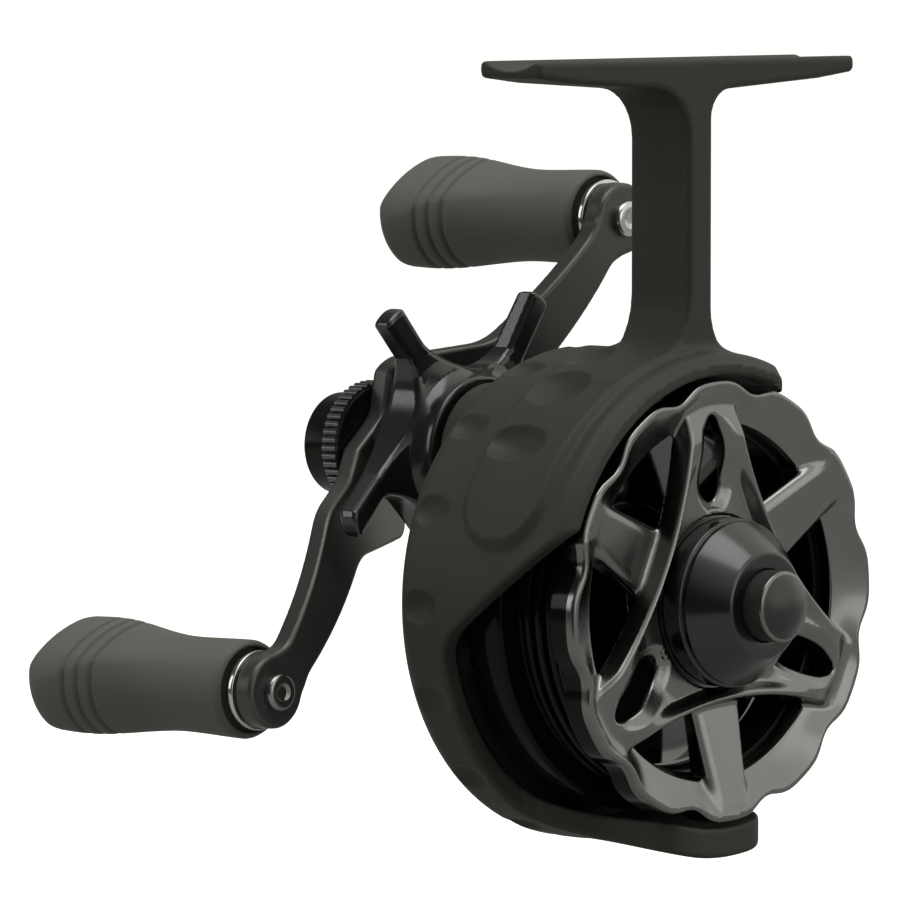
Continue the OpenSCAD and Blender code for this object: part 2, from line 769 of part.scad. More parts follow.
module spool_face() color(gunmetal) on_axis() difference() {
    star_tip = ring_dish + 0.6;
    bar_front = ridge_front - bar_sink;
    bar_back = 0.2 - ring_t;
    union() {
        intersection() {
            rotate_extrude($fn = 128) polygon([[ring_r, -ring_t], [face_r + 1, -ring_t],
                [face_r + 1, ring_dish], [face_r - ring_edge, ring_dish], [ring_r, 0]]);
            translate([0, 0, -ring_t]) linear_extrude(ring_t + ring_dish) wavy_disc();
        }
        rotate([0, 0, face_turn]) intersection() {
            rotate_extrude($fn = 128) polygon([[0, ridge_front - star_t],
                [star_waist + 1, ridge_front - star_t], [star_reach + over, star_tip - star_t],
                [star_reach + over, star_tip], [star_waist + 1, ridge_front], [0, ridge_front]]);
            translate([0, 0, -ring_t]) linear_extrude(2 * star_front + ring_t) star_outline();
        }
        rotate([0, 0, face_turn]) intersection() {
            rotate_extrude($fn = 128) polygon([[0, bar_back], [bar_reach + over, bar_back],
                [bar_reach + over, ring_dish + 0.1], [star_waist + 1, bar_front], [0, bar_front]]);
            for (a = [30, 150, 270]) rotate(a)
                translate([0, 0, -2 * ring_t]) linear_extrude(2 * star_front + ring_t) bar_outline();
        }
        bar(star_waist - 0.5, -ring_t, cap_seat + 0.2);
    }
    bar(spool_hub_r + seat_fit, -big, star_front + over);
    bar(cap_base_r + face_gap, cap_seat, star_front + over);
    for (a = [90, 210, 330]) rotate([0, 0, face_turn + a]) translate([0, 0, -2 * ring_t - over])
        linear_extrude(big) eyelet();
}

module hub_cap() color(satin_black) on_axis() {
    inner_base = cap_base_r - cap_wall;
    inner_end = max(cap_end_r - cap_wall, button_collar_r + face_gap);
    rotate_extrude() polygon([[inner_base, cap_seat], [cap_base_r, cap_seat], [cap_base_r, cap_cone_x],
        [cap_end_r, cap_end_x], [button_r + run_fit, cap_end_x], [button_r + run_fit, cap_end_x - cap_wall],
        [inner_end, cap_end_x - cap_wall], [inner_base, cap_cone_x]]);
}

// Spring clip in the groove of the spool shaft
module spool_latch() color(steel) on_axis() difference() {
    ring(spool_shaft_r + run_fit + latch_wire, spool_shaft_r + run_fit, latch_x, latch_x + latch_t);
    translate([0, 0, latch_x - over]) linear_extrude(latch_t + 2 * over)
        polygon([[0, 0], [4, 2], [4, -2]]);
}

// Compression spring: one tube swept along a helix with closed ends
module button_spring() color(steel) {
    low = star_front + spring_wire / 2;
    high = button_collar_x - spring_wire / 2;
    rings = spring_turns * spring_rings;
    centres = [for (i = [0 : rings]) let (a = 360 * i / spring_rings)
        [spring_r * cos(a), spring_r * sin(a), low + (high - low) * i / rings]];
    points = [for (i = [0 : rings]) let (a = 360 * i / spring_rings)
        for (j = [0 : spring_sides - 1]) let (b = 360 * j / spring_sides)
            centres[i] + spring_wire / 2 * [cos(b) * cos(a), cos(b) * sin(a), sin(b)]];
    sides = [for (i = [0 : rings - 1]) for (j = [0 : spring_sides - 1])
        let (k = (j + 1) % spring_sides, p = i * spring_sides, q = p + spring_sides)
        each [[p + j, p + k, q + k], [p + j, q + k, q + j]]];
    ends = [for (j = [1 : spring_sides - 2])
        each [[0, j + 1, j], [rings * spring_sides, rings * spring_sides + j, rings * spring_sides + j + 1]]];
    on_axis() polyhedron(points, concat(sides, ends));
}

module release_button() color(satin_black) on_axis() difference() {
    top = cap_end_x + button_side;
    dome = (pow(button_r - 0.6, 2) + pow(button_dome, 2)) / (2 * button_dome);
    union() {
        bar(button_collar_r, button_collar_x, button_collar_x + button_collar_t);
        bar(button_r, button_collar_x, top);
        intersection() {
            bar(button_r - 0.6, top, top + button_dome);
            translate([0, 0, top + button_dome - dome]) sphere(dome);
        }
    }
    bar(button_socket_r, button_collar_x - over, shaft_tip + button_travel + 0.5);
}

module handle_shaft() color(steel) on_handle() {
    bar(shaft_inner_r, plate_front, flange_x);
    bar(shaft_flange_r, flange_x, washer_x);
    bar(shaft_r, washer_x, arm_x);
    intersection() {
        bar(shaft_r, arm_x, shaft_end);
        translate([-big / 2, -shaft_flat, shaft_end]) cube([big, 2 * shaft_flat, arm_x - shaft_end]);
    }
}

module drag_washer(x) {
    color("#4a4036") on_handle() ring(washer_r, shaft_r + run_fit, x, x - washer_t);
}

module inner_drag_washer() drag_washer(washer_x);

module outer_drag_washer() drag_washer(washer2_x);

module drive_gear() color(brass_tone) on_handle() gear(drive_teeth, 0, shaft_r + run_fit);

module pressure_plate() color(steel) on_handle()
    ring(washer_r, shaft_r + run_fit, pressure_x, pressure_x - plate_disc_t);

module clutch_sleeve() color(steel) on_handle()
    ring(sleeve_r, shaft_r + run_fit, sleeve_x, drag_x);

// Two cupped washers back to back
module drag_spring() color(steel) on_handle() rotate_extrude() {
    bore = shaft_r + 0.15;
    edge = drag_pocket_r - 0.2;
    x = drag_x - drag_pocket;
    mid = x + drag_pocket / 2;
    polygon([[bore, x], [bore, x + 0.4], [edge - 0.4, mid], [bore, x + drag_pocket - 0.4],
        [bore, x + drag_pocket], [bore + 0.4, x + drag_pocket], [edge, mid + 0.15], [edge, mid - 0.15],
        [bore + 0.4, x]]);
}

// Fingers with hollow sides between them, curling from root to tip
function finger_r(a) = let (
    between = 180 / finger_count,
    half = asin(finger_w / 2 / finger_reach),
    tip = finger_reach * [cos(between - half), sin(between - half)],
    centre = (tip * tip - pow(finger_waist, 2)) / (2 * (tip[0] - finger_waist)),
    b = between - abs(a)
) abs(a) <= half ? finger_reach
    : centre * cos(b) - sqrt(pow(centre - finger_waist, 2) - pow(centre * sin(b), 2));

module finger_outline() {
    steps = 24;
    polygon([for (i = [0 : finger_count * steps - 1]) let (
        pitch = 360 / finger_count,
        a = ((i % steps) / steps - 0.5) * pitch,
        r = finger_r(a),
        turn = floor(i / steps) * pitch + a - finger_curl * (finger_reach - r) / (finger_reach - finger_waist)
    ) r * [cos(turn), sin(turn)]]);
}

module star_drag() color(gloss_black) on_handle() difference() {
    inner = finger_root + 0.8;
    flare = (finger_reach - drag_hub_r) / 5;
    union() {
        bar(drag_hub_r, drag_x, drag_end);
        intersection() {
            rotate([0, 0, finger_angle]) translate([0, 0, drag_end])
                linear_extrude(-drag_end) finger_outline();
            rotate_extrude() polygon([[0, drag_end], [drag_hub_r, drag_end],
                [finger_reach + over, drag_end + finger_lean],
                [finger_reach + over, finger_root + finger_lean],
                [drag_hub_r + 2 * flare, inner + 1.4], [drag_hub_r + flare, inner + 1.5],
                [drag_hub_r, inner + 2.8], [0, inner + 2.8]]);
        }
    }
    bar(shaft_r + run_fit, drag_end - over, drag_x + over);
    bar(drag_pocket_r, drag_x - drag_pocket, drag_x + over);
}

module handle_spacer() color(satin_black) on_handle()
    ring(arm_flat - 0.4, shaft_r + run_fit, drag_end - face_gap, arm_x);

// Handle arm: its outline as seen along the shaft, and its sweep as seen from its edge
function arm_rise(u) = let (t = max(0, min(1, (abs(u) - arm_flat) / (crank_r - arm_flat - arm_level))))
    arm_sweep * sin(90 * t);

// One long side of the arm. The other side is the same, turned half round
arm_side = [[crank_r - arm_neck, arm_half, 0], [0.42 * crank_r, 0.6 * arm_half, 6],
    [0.155 * crank_r, arm_lobe, 3], [0.02 * crank_r, arm_hub_half, 4], [-0.25 * crank_r, arm_hub_half, 8],
    [-0.43 * crank_r, arm_bow, 9], [arm_neck - crank_r, arm_half, 0]];

module arm_outline() {
    polygon(rounded(concat(arm_side, [for (p = arm_side) [-p[0], -p[1], p[2]]])));
    for (s = [-1, 1]) translate([s * crank_r, 0]) circle(arm_end_r);
}

module arm_edge() {
    steps = 14;
    run = crank_r - arm_level - arm_flat;
    half = concat([for (i = [0 : steps]) arm_flat + run * i / steps], [crank_r + arm_end_r + over]);
    stations = concat([for (i = [steps + 1 : -1 : 0]) -half[i]], half);
    last = len(stations) - 1;
    polygon(concat([for (u = stations) [u, arm_x + arm_rise(u)]],
        [for (i = [last : -1 : 0]) let (u = stations[i]) [u, arm_x - arm_t + arm_rise(u)]]));
}

module handle_arm() color(gloss_black) on_handle() rotate([0, 0, arm_angle]) difference() {
    intersection() {
        translate([0, 0, arm_x - arm_t - over]) linear_extrude(arm_t + arm_sweep + 2 * over) arm_outline();
        translate([0, big, 0]) rotate([90, 0, 0]) linear_extrude(2 * big) arm_edge();
    }
    bar(shaft_r + seat_fit, arm_x - arm_t - over, arm_x + over);
    for (s = [-1, 1]) translate([s * crank_r, 0, 0])
        bar(spindle_r + seat_fit, arm_end_x - arm_t - over, arm_end_x + over);
}

module handle_nut() color(gloss_black) on_handle() {
    knurl_x = nut_x - face_gap / 3;
    end_x = knurl_x - nut_w;
    dome_x = end_x - nut_end_l;
    dome_ball = (pow(nut_dome_r, 2) + pow(nut_dome_h, 2)) / (2 * nut_dome_h);
    difference() {
        union() {
            bar(nut_dome_r, knurl_x, dome_x);
            translate([0, 0, end_x]) linear_extrude(nut_w) difference() {
                circle(nut_r);
                for (i = [0 : nut_grooves - 1]) rotate(360 * i / nut_grooves)
                    translate([nut_r - knurl_depth, -knurl_w / 2]) square([over, knurl_w]);
            }
            intersection() {
                bar(nut_dome_r, dome_x - nut_dome_h, dome_x);
                translate([0, 0, dome_x - nut_dome_h + dome_ball]) sphere(dome_ball);
            }
        }
        bar(shaft_r + run_fit, shaft_end - 0.4, nut_x + over);
    }
}

module at_grip(side) {
    on_handle() rotate([0, 0, arm_angle]) translate([side * crank_r, 0, 0]) children();
}

module spindle(side) {
    color(steel) at_grip(side) {
        bar(spindle_r, arm_end_x, spindle_end);
        bar(spindle_head_r, arm_end_x, arm_end_x + spindle_head_t);
    }
}

module collar(side) {
    color(bright) at_grip(side) ring(collar_r, spindle_r + seat_fit, collar_x, collar_x - collar_t);
}

// Half width of a grip along its length: root, waist and bulge, then a rounded end
function smooth(t) = t * t * (3 - 2 * t);
function grip_half(t) = t < 0.35
    ? grip_root_r + (grip_waist_r - grip_root_r) * smooth(t / 0.35)
    : grip_waist_r + (grip_r - grip_waist_r) * smooth((t - 0.35) / 0.65);
function grip_thick(t) = grip_root_r + (grip_flat - grip_root_r) * smooth(min(1, t / 0.35));
function round_end(r) = [for (a = [15 : 15 : 90])
    [r - grip_round + grip_round * cos(a), grip_x - grip_body - grip_dome * sin(a)]];

// The round blank that gives a grip its width
module grip_blank() {
    steps = 14;
    rotate_extrude() polygon(concat([[0, grip_x]],
        [for (i = [0 : steps]) [grip_half(i / steps), grip_x - grip_body * i / steps]],
        round_end(grip_r), [[0, grip_x - grip_l]]));
}

// One broad face of the paddle, part of a wide round about an axis beside the grip
module paddle_face(side) {
    steps = 4;
    translate([0, side * paddle_set, 0]) rotate_extrude($fn = 96) polygon(concat([[0, grip_x]],
        [for (i = [0 : steps]) let (t = 0.35 * i / steps)
            [paddle_set + grip_thick(t), grip_x - grip_body * t]],
        [[paddle_set + grip_flat, grip_x - grip_body]],
        [for (p = round_end(grip_flat)) [paddle_set + p[0], p[1]]],
        [[0, grip_x - grip_l]]));
}

module groove_face(side, x) {
    translate([0, side * paddle_set, 0])
        bar(paddle_set + grip_flat - grip_groove_depth, x - over, x + 2 * over, $fn = 96);
}

module grip_groove(x) {
    difference() {
        bar(grip_r + over, x, x + grip_groove_w);
        intersection() {
            bar(grip_half((grip_x - x) / grip_body) - grip_groove_depth, x - over, x + 2 * over);
            groove_face(1, x);
            groove_face(-1, x);
        }
    }
}

module grip(side, turn) {
    color(grip_grey) at_grip(side) rotate([0, 0, turn - arm_angle]) difference() {
        intersection() {
            grip_blank();
            paddle_face(1);
            paddle_face(-1);
        }
        bar(spindle_r + run_fit, spindle_end - face_gap, grip_x + over);
        for (i = [0 : grip_grooves - 1])
            grip_groove(grip_x - grip_body + grip_groove_start + i * grip_groove_gap);
    }
}

module upper_spindle() spindle(1);
module lower_spindle() spindle(-1);
module upper_collar() collar(1);
module lower_collar() collar(-1);
module upper_grip() grip(1, upper_grip_turn);
module lower_grip() grip(-1, lower_grip_turn);

frame();
gear_plate();
plate_screws();
rear_bearing();
front_bearing();
handle_bearing();
one_way_clutch();
shaft_bush();
idler_pin();
idler_gear();
spool_shaft();
pinion_gear();
drive_hub();
spool_drum();
spool_face();
hub_cap();
spool_latch();
button_spring();
release_button();
handle_shaft();
inner_drag_washer();
drive_gear();
outer_drag_washer();
pressure_plate();
clutch_sleeve();
drag_spring();
star_drag();
handle_spacer();
handle_arm();
handle_nut();
upper_spindle();
lower_spindle();
upper_collar();
lower_collar();
upper_grip();
lower_grip();
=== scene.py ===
import math

import bmesh
import bpy
import numpy as np
from mathutils import Matrix, Vector


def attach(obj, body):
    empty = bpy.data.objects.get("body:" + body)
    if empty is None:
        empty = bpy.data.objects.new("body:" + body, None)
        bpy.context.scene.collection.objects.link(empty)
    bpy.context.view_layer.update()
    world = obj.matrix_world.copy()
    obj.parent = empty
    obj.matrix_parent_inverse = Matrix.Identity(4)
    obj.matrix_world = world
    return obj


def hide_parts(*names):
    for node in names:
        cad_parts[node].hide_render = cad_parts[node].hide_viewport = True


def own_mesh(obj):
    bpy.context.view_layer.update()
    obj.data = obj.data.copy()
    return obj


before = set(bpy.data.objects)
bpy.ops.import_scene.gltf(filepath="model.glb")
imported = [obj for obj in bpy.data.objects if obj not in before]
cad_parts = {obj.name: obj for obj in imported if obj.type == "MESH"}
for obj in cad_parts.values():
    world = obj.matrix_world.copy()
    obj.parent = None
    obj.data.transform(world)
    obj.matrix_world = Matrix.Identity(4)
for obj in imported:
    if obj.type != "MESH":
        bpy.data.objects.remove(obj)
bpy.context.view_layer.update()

# Sizes are in millimetres in the part's own frame, as in the part's source, until a mesh is made.
MM = 0.001
FACE_X = 6.0            # station 0 on the spool axis: inner edge of the spool's face ring
AXIS_Z = -64.0          # the spool axis
HANDLE_Y, HANDLE_Z = -7.4855, -47.4984
ARM_ANGLE = math.radians(41.8)
CRANK = 40.5


# Outlines and distance fields

def arc_corner(before, corner, after, steps):
    """Points of one corner [u, v, radius] of an outline, rounded."""
    p = np.array(corner[:2], float)
    a = np.array(before[:2], float) - p
    b = np.array(after[:2], float) - p
    a, b = a / np.hypot(*a), b / np.hypot(*b)
    radius = corner[2]
    if radius == 0:
        return [tuple(p)]
    half = math.acos(max(-1, min(1, float(a @ b)))) / 2
    middle = (a + b) / np.hypot(*(a + b))
    centre = p + middle * radius / math.sin(half)
    first = p + a * radius / math.tan(half) - centre
    last = p + b * radius / math.tan(half) - centre
    start = math.atan2(first[1], first[0])
    turn = math.atan2(first[0] * last[1] - first[1] * last[0], float(first @ last))
    return [tuple(centre + radius * np.array((math.cos(start + turn * i / steps),
                                              math.sin(start + turn * i / steps))))
            for i in range(steps + 1)]


def rounded(corners, steps=7):
    """Points of an outline with each of its corners [u, v, radius] rounded."""
    count = len(corners)
    points = []
    for i in range(count):
        points += arc_corner(corners[i - 1], corners[i], corners[(i + 1) % count], steps)
    return points


def outline_distance(points, u, v):
    """Signed distance from a closed outline, below zero inside it."""
    best = np.full(np.broadcast(u, v).shape, 1e9)
    inside = np.zeros(best.shape, bool)
    for (au, av), (bu, bv) in zip(points, points[1:] + points[:1]):
        eu, ev = bu - au, bv - av
        if eu == 0 and ev == 0:
            continue
        wu, wv = u - au, v - av
        t = np.clip((wu * eu + wv * ev) / (eu * eu + ev * ev), 0, 1)
        best = np.minimum(best, (wu - eu * t) ** 2 + (wv - ev * t) ** 2)
        if av != bv:
            inside ^= ((av > v) != (bv > v)) & (u < eu * (v - av) / ev + au)
    return np.where(inside, -1.0, 1.0) * np.sqrt(best)


def join(a, b, fillet):
    """Union with a soft fillet."""
    h = np.clip(0.5 + 0.5 * (b - a) / fillet, 0, 1)
    return b + (a - b) * h - fillet * h * (1 - h)


def common(a, b, radius):
    """Intersection with its outer edge rounded to that radius."""
    a, b = a + radius, b + radius
    return np.hypot(np.maximum(a, 0), np.maximum(b, 0)) + np.minimum(np.maximum(a, b), 0) - radius


def cut(a, b, radius):
    """a less b, with the edge rounded."""
    return common(a, -b, radius)


def step_up(value, low, high):
    """A smooth step from 0 at low to 1 at high."""
    t = np.clip((value - low) / (high - low), 0, 1)
    return t * t * (3 - 2 * t)


def between(value, low, high):
    """Distance from the span from low to high, below zero within it."""
    return np.maximum(low - value, value - high)


def turned_to(angle, y, z):
    """How far a place lies along a direction at that angle, and aside from it."""
    return (y * math.cos(angle) + z * math.sin(angle),
            z * math.cos(angle) - y * math.sin(angle))


# Meshes

def new_piece(name, mesh):
    piece = bpy.data.objects.new(name, mesh)
    bpy.context.scene.collection.objects.link(piece)
    return piece


PULLS, PROBE = 4, 0.01  # times a skin is pulled onto its field, and the reach of a slope's probe


def slope_of(field, points):
    """Difference of the field across each point along X, Y and Z."""
    return np.stack([field(*(points + PROBE * e).T) - field(*(points - PROBE * e).T)
                     for e in np.eye(3)], 1)


def moulded(name, field, low, high, step):
    """A closed skin round the space where the field is below zero."""
    axes = [np.arange(a, b + step, step) for a, b in zip(low, high)]
    shape = tuple(len(a) for a in axes)
    grid = np.ix_(*axes)
    depth = np.ascontiguousarray(np.broadcast_to(field(*grid), shape))
    inside = depth < 0
    count = np.zeros(tuple(n - 1 for n in shape), np.int8)
    corners = [(i, j, k) for i in (0, 1) for j in (0, 1) for k in (0, 1)]
    for i, j, k in corners:
        count += inside[i:shape[0] - 1 + i, j:shape[1] - 1 + j, k:shape[2] - 1 + k]
    cells = np.argwhere((count > 0) & (count < 8))
    index = np.full(count.shape, -1, np.int64)
    index[tuple(cells.T)] = np.arange(len(cells))
    total = np.zeros((len(cells), 3))
    crossings = np.zeros(len(cells))
    for axis in range(3):
        for a, b in ((0, 0), (0, 1), (1, 0), (1, 1)):
            start = np.insert(np.array((a, b)), axis, 0)
            end = np.insert(np.array((a, b)), axis, 1)
            d0 = depth[tuple((cells + start).T)]
            d1 = depth[tuple((cells + end).T)]
            hit = (d0 < 0) != (d1 < 0)
            t = np.where(hit, d0 / np.where(hit, d0 - d1, 1), 0)
            total += hit[:, None] * (start + (end - start) * t[:, None])
            crossings += hit
    points = np.array(low) + step * (cells + total / crossings[:, None])
    faces = []
    for axis in range(3):
        b, c = [n for n in range(3) if n != axis]
        size = list(shape)
        size[axis] -= 1
        first = inside[tuple(slice(0, n) for n in size)]
        second = inside[tuple(slice(1 if n == axis else 0, None) for n in range(3))]
        edges = np.argwhere(first != second)
        edges = edges[(edges[:, b] > 0) & (edges[:, c] > 0)
                      & (edges[:, b] < shape[b] - 1) & (edges[:, c] < shape[c] - 1)]
        ring = []
        for ob, oc in ((0, 0), (1, 0), (1, 1), (0, 1)):
            cell = edges.copy()
            cell[:, b] -= ob
            cell[:, c] -= oc
            ring.append(index[tuple(cell.T)])
        quads = np.stack(ring, 1)
        turned_over = first[tuple(edges.T)] ^ (axis == 1)
        quads[turned_over] = quads[turned_over][:, ::-1]
        faces.append(quads[:, ::-1])
    for _ in range(PULLS):
        slope = slope_of(field, points) / (2 * PROBE)
        steepness = np.maximum((slope ** 2).sum(1), 0.05)
        move = field(*points.T) / steepness
        points = points - slope * np.clip(move, -0.5 * step, 0.5 * step)[:, None]
    slope = slope_of(field, points)
    normals = slope / np.maximum(np.linalg.norm(slope, axis=1), 1e-9)[:, None]
    mesh = bpy.data.meshes.new(name)
    mesh.from_pydata((points * MM).tolist(), [], np.concatenate(faces).tolist())
    mesh.shade_smooth()
    mesh.normals_split_custom_set_from_vertices(normals.tolist())
    return new_piece(name, mesh)


def faced_outwards(name, points, faces, sharp):
    """A piece with its faces outwards and hard edges where they turn by more than sharp degrees."""
    mesh = bpy.data.meshes.new(name)
    mesh.from_pydata((points * MM).tolist(), [], faces)
    work = bmesh.new()
    work.from_mesh(mesh)
    bmesh.ops.remove_doubles(work, verts=work.verts, dist=1e-7)
    bmesh.ops.recalc_face_normals(work, faces=work.faces)
    work.to_mesh(mesh)
    work.free()
    mesh.shade_smooth()
    mesh.set_sharp_from_angle(angle=math.radians(sharp))
    return new_piece(name, mesh)


def turned(name, profile, centre_y, centre_z, steps, sharp=50):
    """A closed profile of (station, radius) turned round an axis along X."""
    angle = np.arange(steps) * 2 * math.pi / steps
    rings = []
    for station, radius in profile:
        rings.append(np.stack([np.full(steps, station + FACE_X), centre_y + radius * np.cos(angle),
                               centre_z + radius * np.sin(angle)], 1))
    points = np.concatenate(rings)
    count = len(profile)
    faces = []
    for i in range(count):
        a, b = i * steps, ((i + 1) % count) * steps
        for j in range(steps):
            k = (j + 1) % steps
            faces.append((a + j, a + k, b + k, b + j))
    return faced_outwards(name, points, faces, sharp)


def coiled(name, low, high, radius, wire, turns, steps=24, sides=8):
    """A round wire wound round the spool axis from one station to another."""
    count = turns * steps
    points = []
    for i in range(count + 1):
        a = 2 * math.pi * i / steps
        for j in range(sides):
            b = 2 * math.pi * j / sides
            r = radius + wire * math.cos(b)
            points.append((FACE_X + low + (high - low) * i / count + wire * math.sin(b),
                           r * math.cos(a), AXIS_Z + r * math.sin(a)))
    faces = [tuple(range(sides)), tuple(range(count * sides, (count + 1) * sides))]
    for i in range(count):
        for j in range(sides):
            k = (j + 1) % sides
            faces.append((i * sides + j, (i + 1) * sides + j, (i + 1) * sides + k, i * sides + k))
    return faced_outwards(name, np.array(points), faces, 50)


def second_finish(piece, finish, chosen):
    """Another finish on the faces that are chosen by station, radius and normal along X."""
    piece.data.materials.append(finish)
    for face in piece.data.polygons:
        place = face.center / MM
        radius = math.hypot(place.y, place.z - AXIS_Z)
        if chosen(place.x - FACE_X, radius, face.normal.x):
            face.material_index = 1


# Finishes

def group_tree(name, kind, inputs, outputs):
    tree = bpy.data.node_groups.new(name, kind)
    for label, socket, value in inputs:
        made = tree.interface.new_socket(name=label, in_out="INPUT", socket_type=socket)
        if value is not None:
            made.default_value = value
    for label, socket in outputs:
        tree.interface.new_socket(name=label, in_out="OUTPUT", socket_type=socket)
    return tree, tree.nodes.new("NodeGroupInput"), tree.nodes.new("NodeGroupOutput")


def maths(tree, operation, a, b=None, clamp=False):
    node = tree.nodes.new("ShaderNodeMath")
    node.operation = operation
    node.use_clamp = clamp
    for socket, value in zip(node.inputs, (a, b)):
        if value is None:
            continue
        if isinstance(value, (int, float)):
            socket.default_value = value
        else:
            tree.links.new(value, socket)
    return node.outputs[0]


def noise(tree, vector, scale, detail, rough):
    node = tree.nodes.new("ShaderNodeTexNoise")
    node.inputs["Detail"].default_value = detail
    node.inputs["Roughness"].default_value = rough
    tree.links.new(vector, node.inputs["Vector"])
    if isinstance(scale, (int, float)):
        node.inputs["Scale"].default_value = scale
    else:
        tree.links.new(scale, node.inputs["Scale"])
    return node.outputs["Fac"]


def spread(tree, value, low, high, to_low, to_high):
    node = tree.nodes.new("ShaderNodeMapRange")
    node.inputs["From Min"].default_value = low
    node.inputs["From Max"].default_value = high
    tree.links.new(value, node.inputs["Value"])
    for label, end in (("To Min", to_low), ("To Max", to_high)):
        if isinstance(end, (int, float)):
            node.inputs[label].default_value = end
        else:
            tree.links.new(end, node.inputs[label])
    return node.outputs["Result"]


MIX_A, MIX_B, MIX_RESULT = 6, 7, 2  # the colour sockets of a Mix node


def mixed(tree, factor, a, b):
    node = tree.nodes.new("ShaderNodeMix")
    node.data_type = "RGBA"
    tree.links.new(factor, node.inputs["Factor"])
    for socket, value in ((node.inputs[MIX_A], a), (node.inputs[MIX_B], b)):
        if isinstance(value, tuple):
            socket.default_value = value
        else:
            tree.links.new(value, socket)
    return node.outputs[MIX_RESULT]


SURFACE = [("Colour", "NodeSocketColor"), ("Roughness", "NodeSocketFloat"),
           ("Height", "NodeSocketFloat")]
DUST_COLOUR = (0.16, 0.155, 0.145, 1)


def skin_group():
    """Fine grain, blotches and settled dust of a coated or moulded skin."""
    tree, given, out = group_tree(
        "moulded_skin", "ShaderNodeTree",
        [("Colour", "NodeSocketColor", (0.05, 0.05, 0.05, 1)),
         ("Shade", "NodeSocketColor", (0.03, 0.03, 0.03, 1)),
         ("Grain Scale", "NodeSocketFloat", 4000.0), ("Roughness Low", "NodeSocketFloat", 0.5),
         ("Roughness High", "NodeSocketFloat", 0.65), ("Dust", "NodeSocketFloat", 0.1)],
        SURFACE)
    place = tree.nodes.new("ShaderNodeTexCoord").outputs["Object"]
    grain = noise(tree, place, given.outputs["Grain Scale"], 2.0, 0.6)
    blotch = noise(tree, place, 90.0, 4.0, 0.55)
    specks = noise(tree, place, 1900.0, 2.0, 0.7)
    shade = mixed(tree, spread(tree, blotch, 0.3, 0.7, 0.0, 1.0),
                  given.outputs["Shade"], given.outputs["Colour"])
    dust = maths(tree, "MULTIPLY", spread(tree, specks, 0.62, 0.78, 0.0, 1.0),
                 given.outputs["Dust"])
    rough = spread(tree, grain, 0.25, 0.75,
                   given.outputs["Roughness Low"], given.outputs["Roughness High"])
    tree.links.new(mixed(tree, dust, shade, DUST_COLOUR), out.inputs["Colour"])
    tree.links.new(rough, out.inputs["Roughness"])
    tree.links.new(grain, out.inputs["Height"])
    return tree


def lathe_group():
    """Fine rings left by turning, round an axis along X, with faint handling marks."""
    tree, given, out = group_tree(
        "turned_rings", "ShaderNodeTree",
        [("Colour", "NodeSocketColor", (0.05, 0.05, 0.05, 1)),
         ("Shade", "NodeSocketColor", (0.03, 0.03, 0.03, 1)),
         ("Axis", "NodeSocketVector", (0.0, 0.0, 0.0)), ("Ring Scale", "NodeSocketFloat", 6000.0),
         ("Roughness Low", "NodeSocketFloat", 0.2), ("Roughness High", "NodeSocketFloat", 0.3)],
        SURFACE)
    place = tree.nodes.new("ShaderNodeTexCoord").outputs["Object"]
    offset = tree.nodes.new("ShaderNodeVectorMath")
    offset.operation = "SUBTRACT"
    tree.links.new(place, offset.inputs[0])
    tree.links.new(given.outputs["Axis"], offset.inputs[1])
    parts = tree.nodes.new("ShaderNodeSeparateXYZ")
    tree.links.new(offset.outputs[0], parts.inputs[0])
    square_y = maths(tree, "MULTIPLY", parts.outputs["Y"], parts.outputs["Y"])
    square_z = maths(tree, "MULTIPLY", parts.outputs["Z"], parts.outputs["Z"])
    across = maths(tree, "SQRT", maths(tree, "ADD", square_y, square_z))
    turned_place = tree.nodes.new("ShaderNodeCombineXYZ")
    tree.links.new(parts.outputs["X"], turned_place.inputs["X"])
    tree.links.new(across, turned_place.inputs["Y"])
    rings = noise(tree, turned_place.outputs[0], given.outputs["Ring Scale"], 2.0, 0.6)
    marks = noise(tree, place, 160.0, 5.0, 0.6)
    shade = mixed(tree, spread(tree, marks, 0.35, 0.65, 0.0, 1.0),
                  given.outputs["Shade"], given.outputs["Colour"])
    sheen = maths(tree, "ADD", maths(tree, "MULTIPLY", rings, 0.5),
                  maths(tree, "MULTIPLY", marks, 0.5))
    rough = spread(tree, sheen, 0.3, 0.7,
                   given.outputs["Roughness Low"], given.outputs["Roughness High"])
    tree.links.new(shade, out.inputs["Colour"])
    tree.links.new(rough, out.inputs["Roughness"])
    tree.links.new(rings, out.inputs["Height"])
    return tree


SKIN = skin_group()
LATHE = lathe_group()
GRAIN_HEIGHT = 0.00004  # metres


def finish_with(name, group, values, metallic=0.0, bump=0.05, specular=0.5):
    """A material whose colour, roughness and fine relief come from one of the groups."""
    material = bpy.data.materials.new(name)
    material.use_nodes = True
    tree = material.node_tree
    shader = tree.nodes["Principled BSDF"]
    shader.inputs["Metallic"].default_value = metallic
    shader.inputs["Specular IOR Level"].default_value = specular
    skin = tree.nodes.new("ShaderNodeGroup")
    skin.node_tree = group
    for label, value in values.items():
        if label in ("Colour", "Shade"):
            value = (*value, 1)
        skin.inputs[label].default_value = value
    tree.links.new(skin.outputs["Colour"], shader.inputs["Base Color"])
    tree.links.new(skin.outputs["Roughness"], shader.inputs["Roughness"])
    raised = tree.nodes.new("ShaderNodeBump")
    raised.inputs["Strength"].default_value = bump
    raised.inputs["Distance"].default_value = GRAIN_HEIGHT
    tree.links.new(skin.outputs["Height"], raised.inputs["Height"])
    tree.links.new(raised.outputs["Normal"], shader.inputs["Normal"])
    return material


def grey(level, warm=0.0):
    """A grey of that level, warmer by a small share."""
    return (level * (1 + warm), level, level * (1 - 2 * warm))


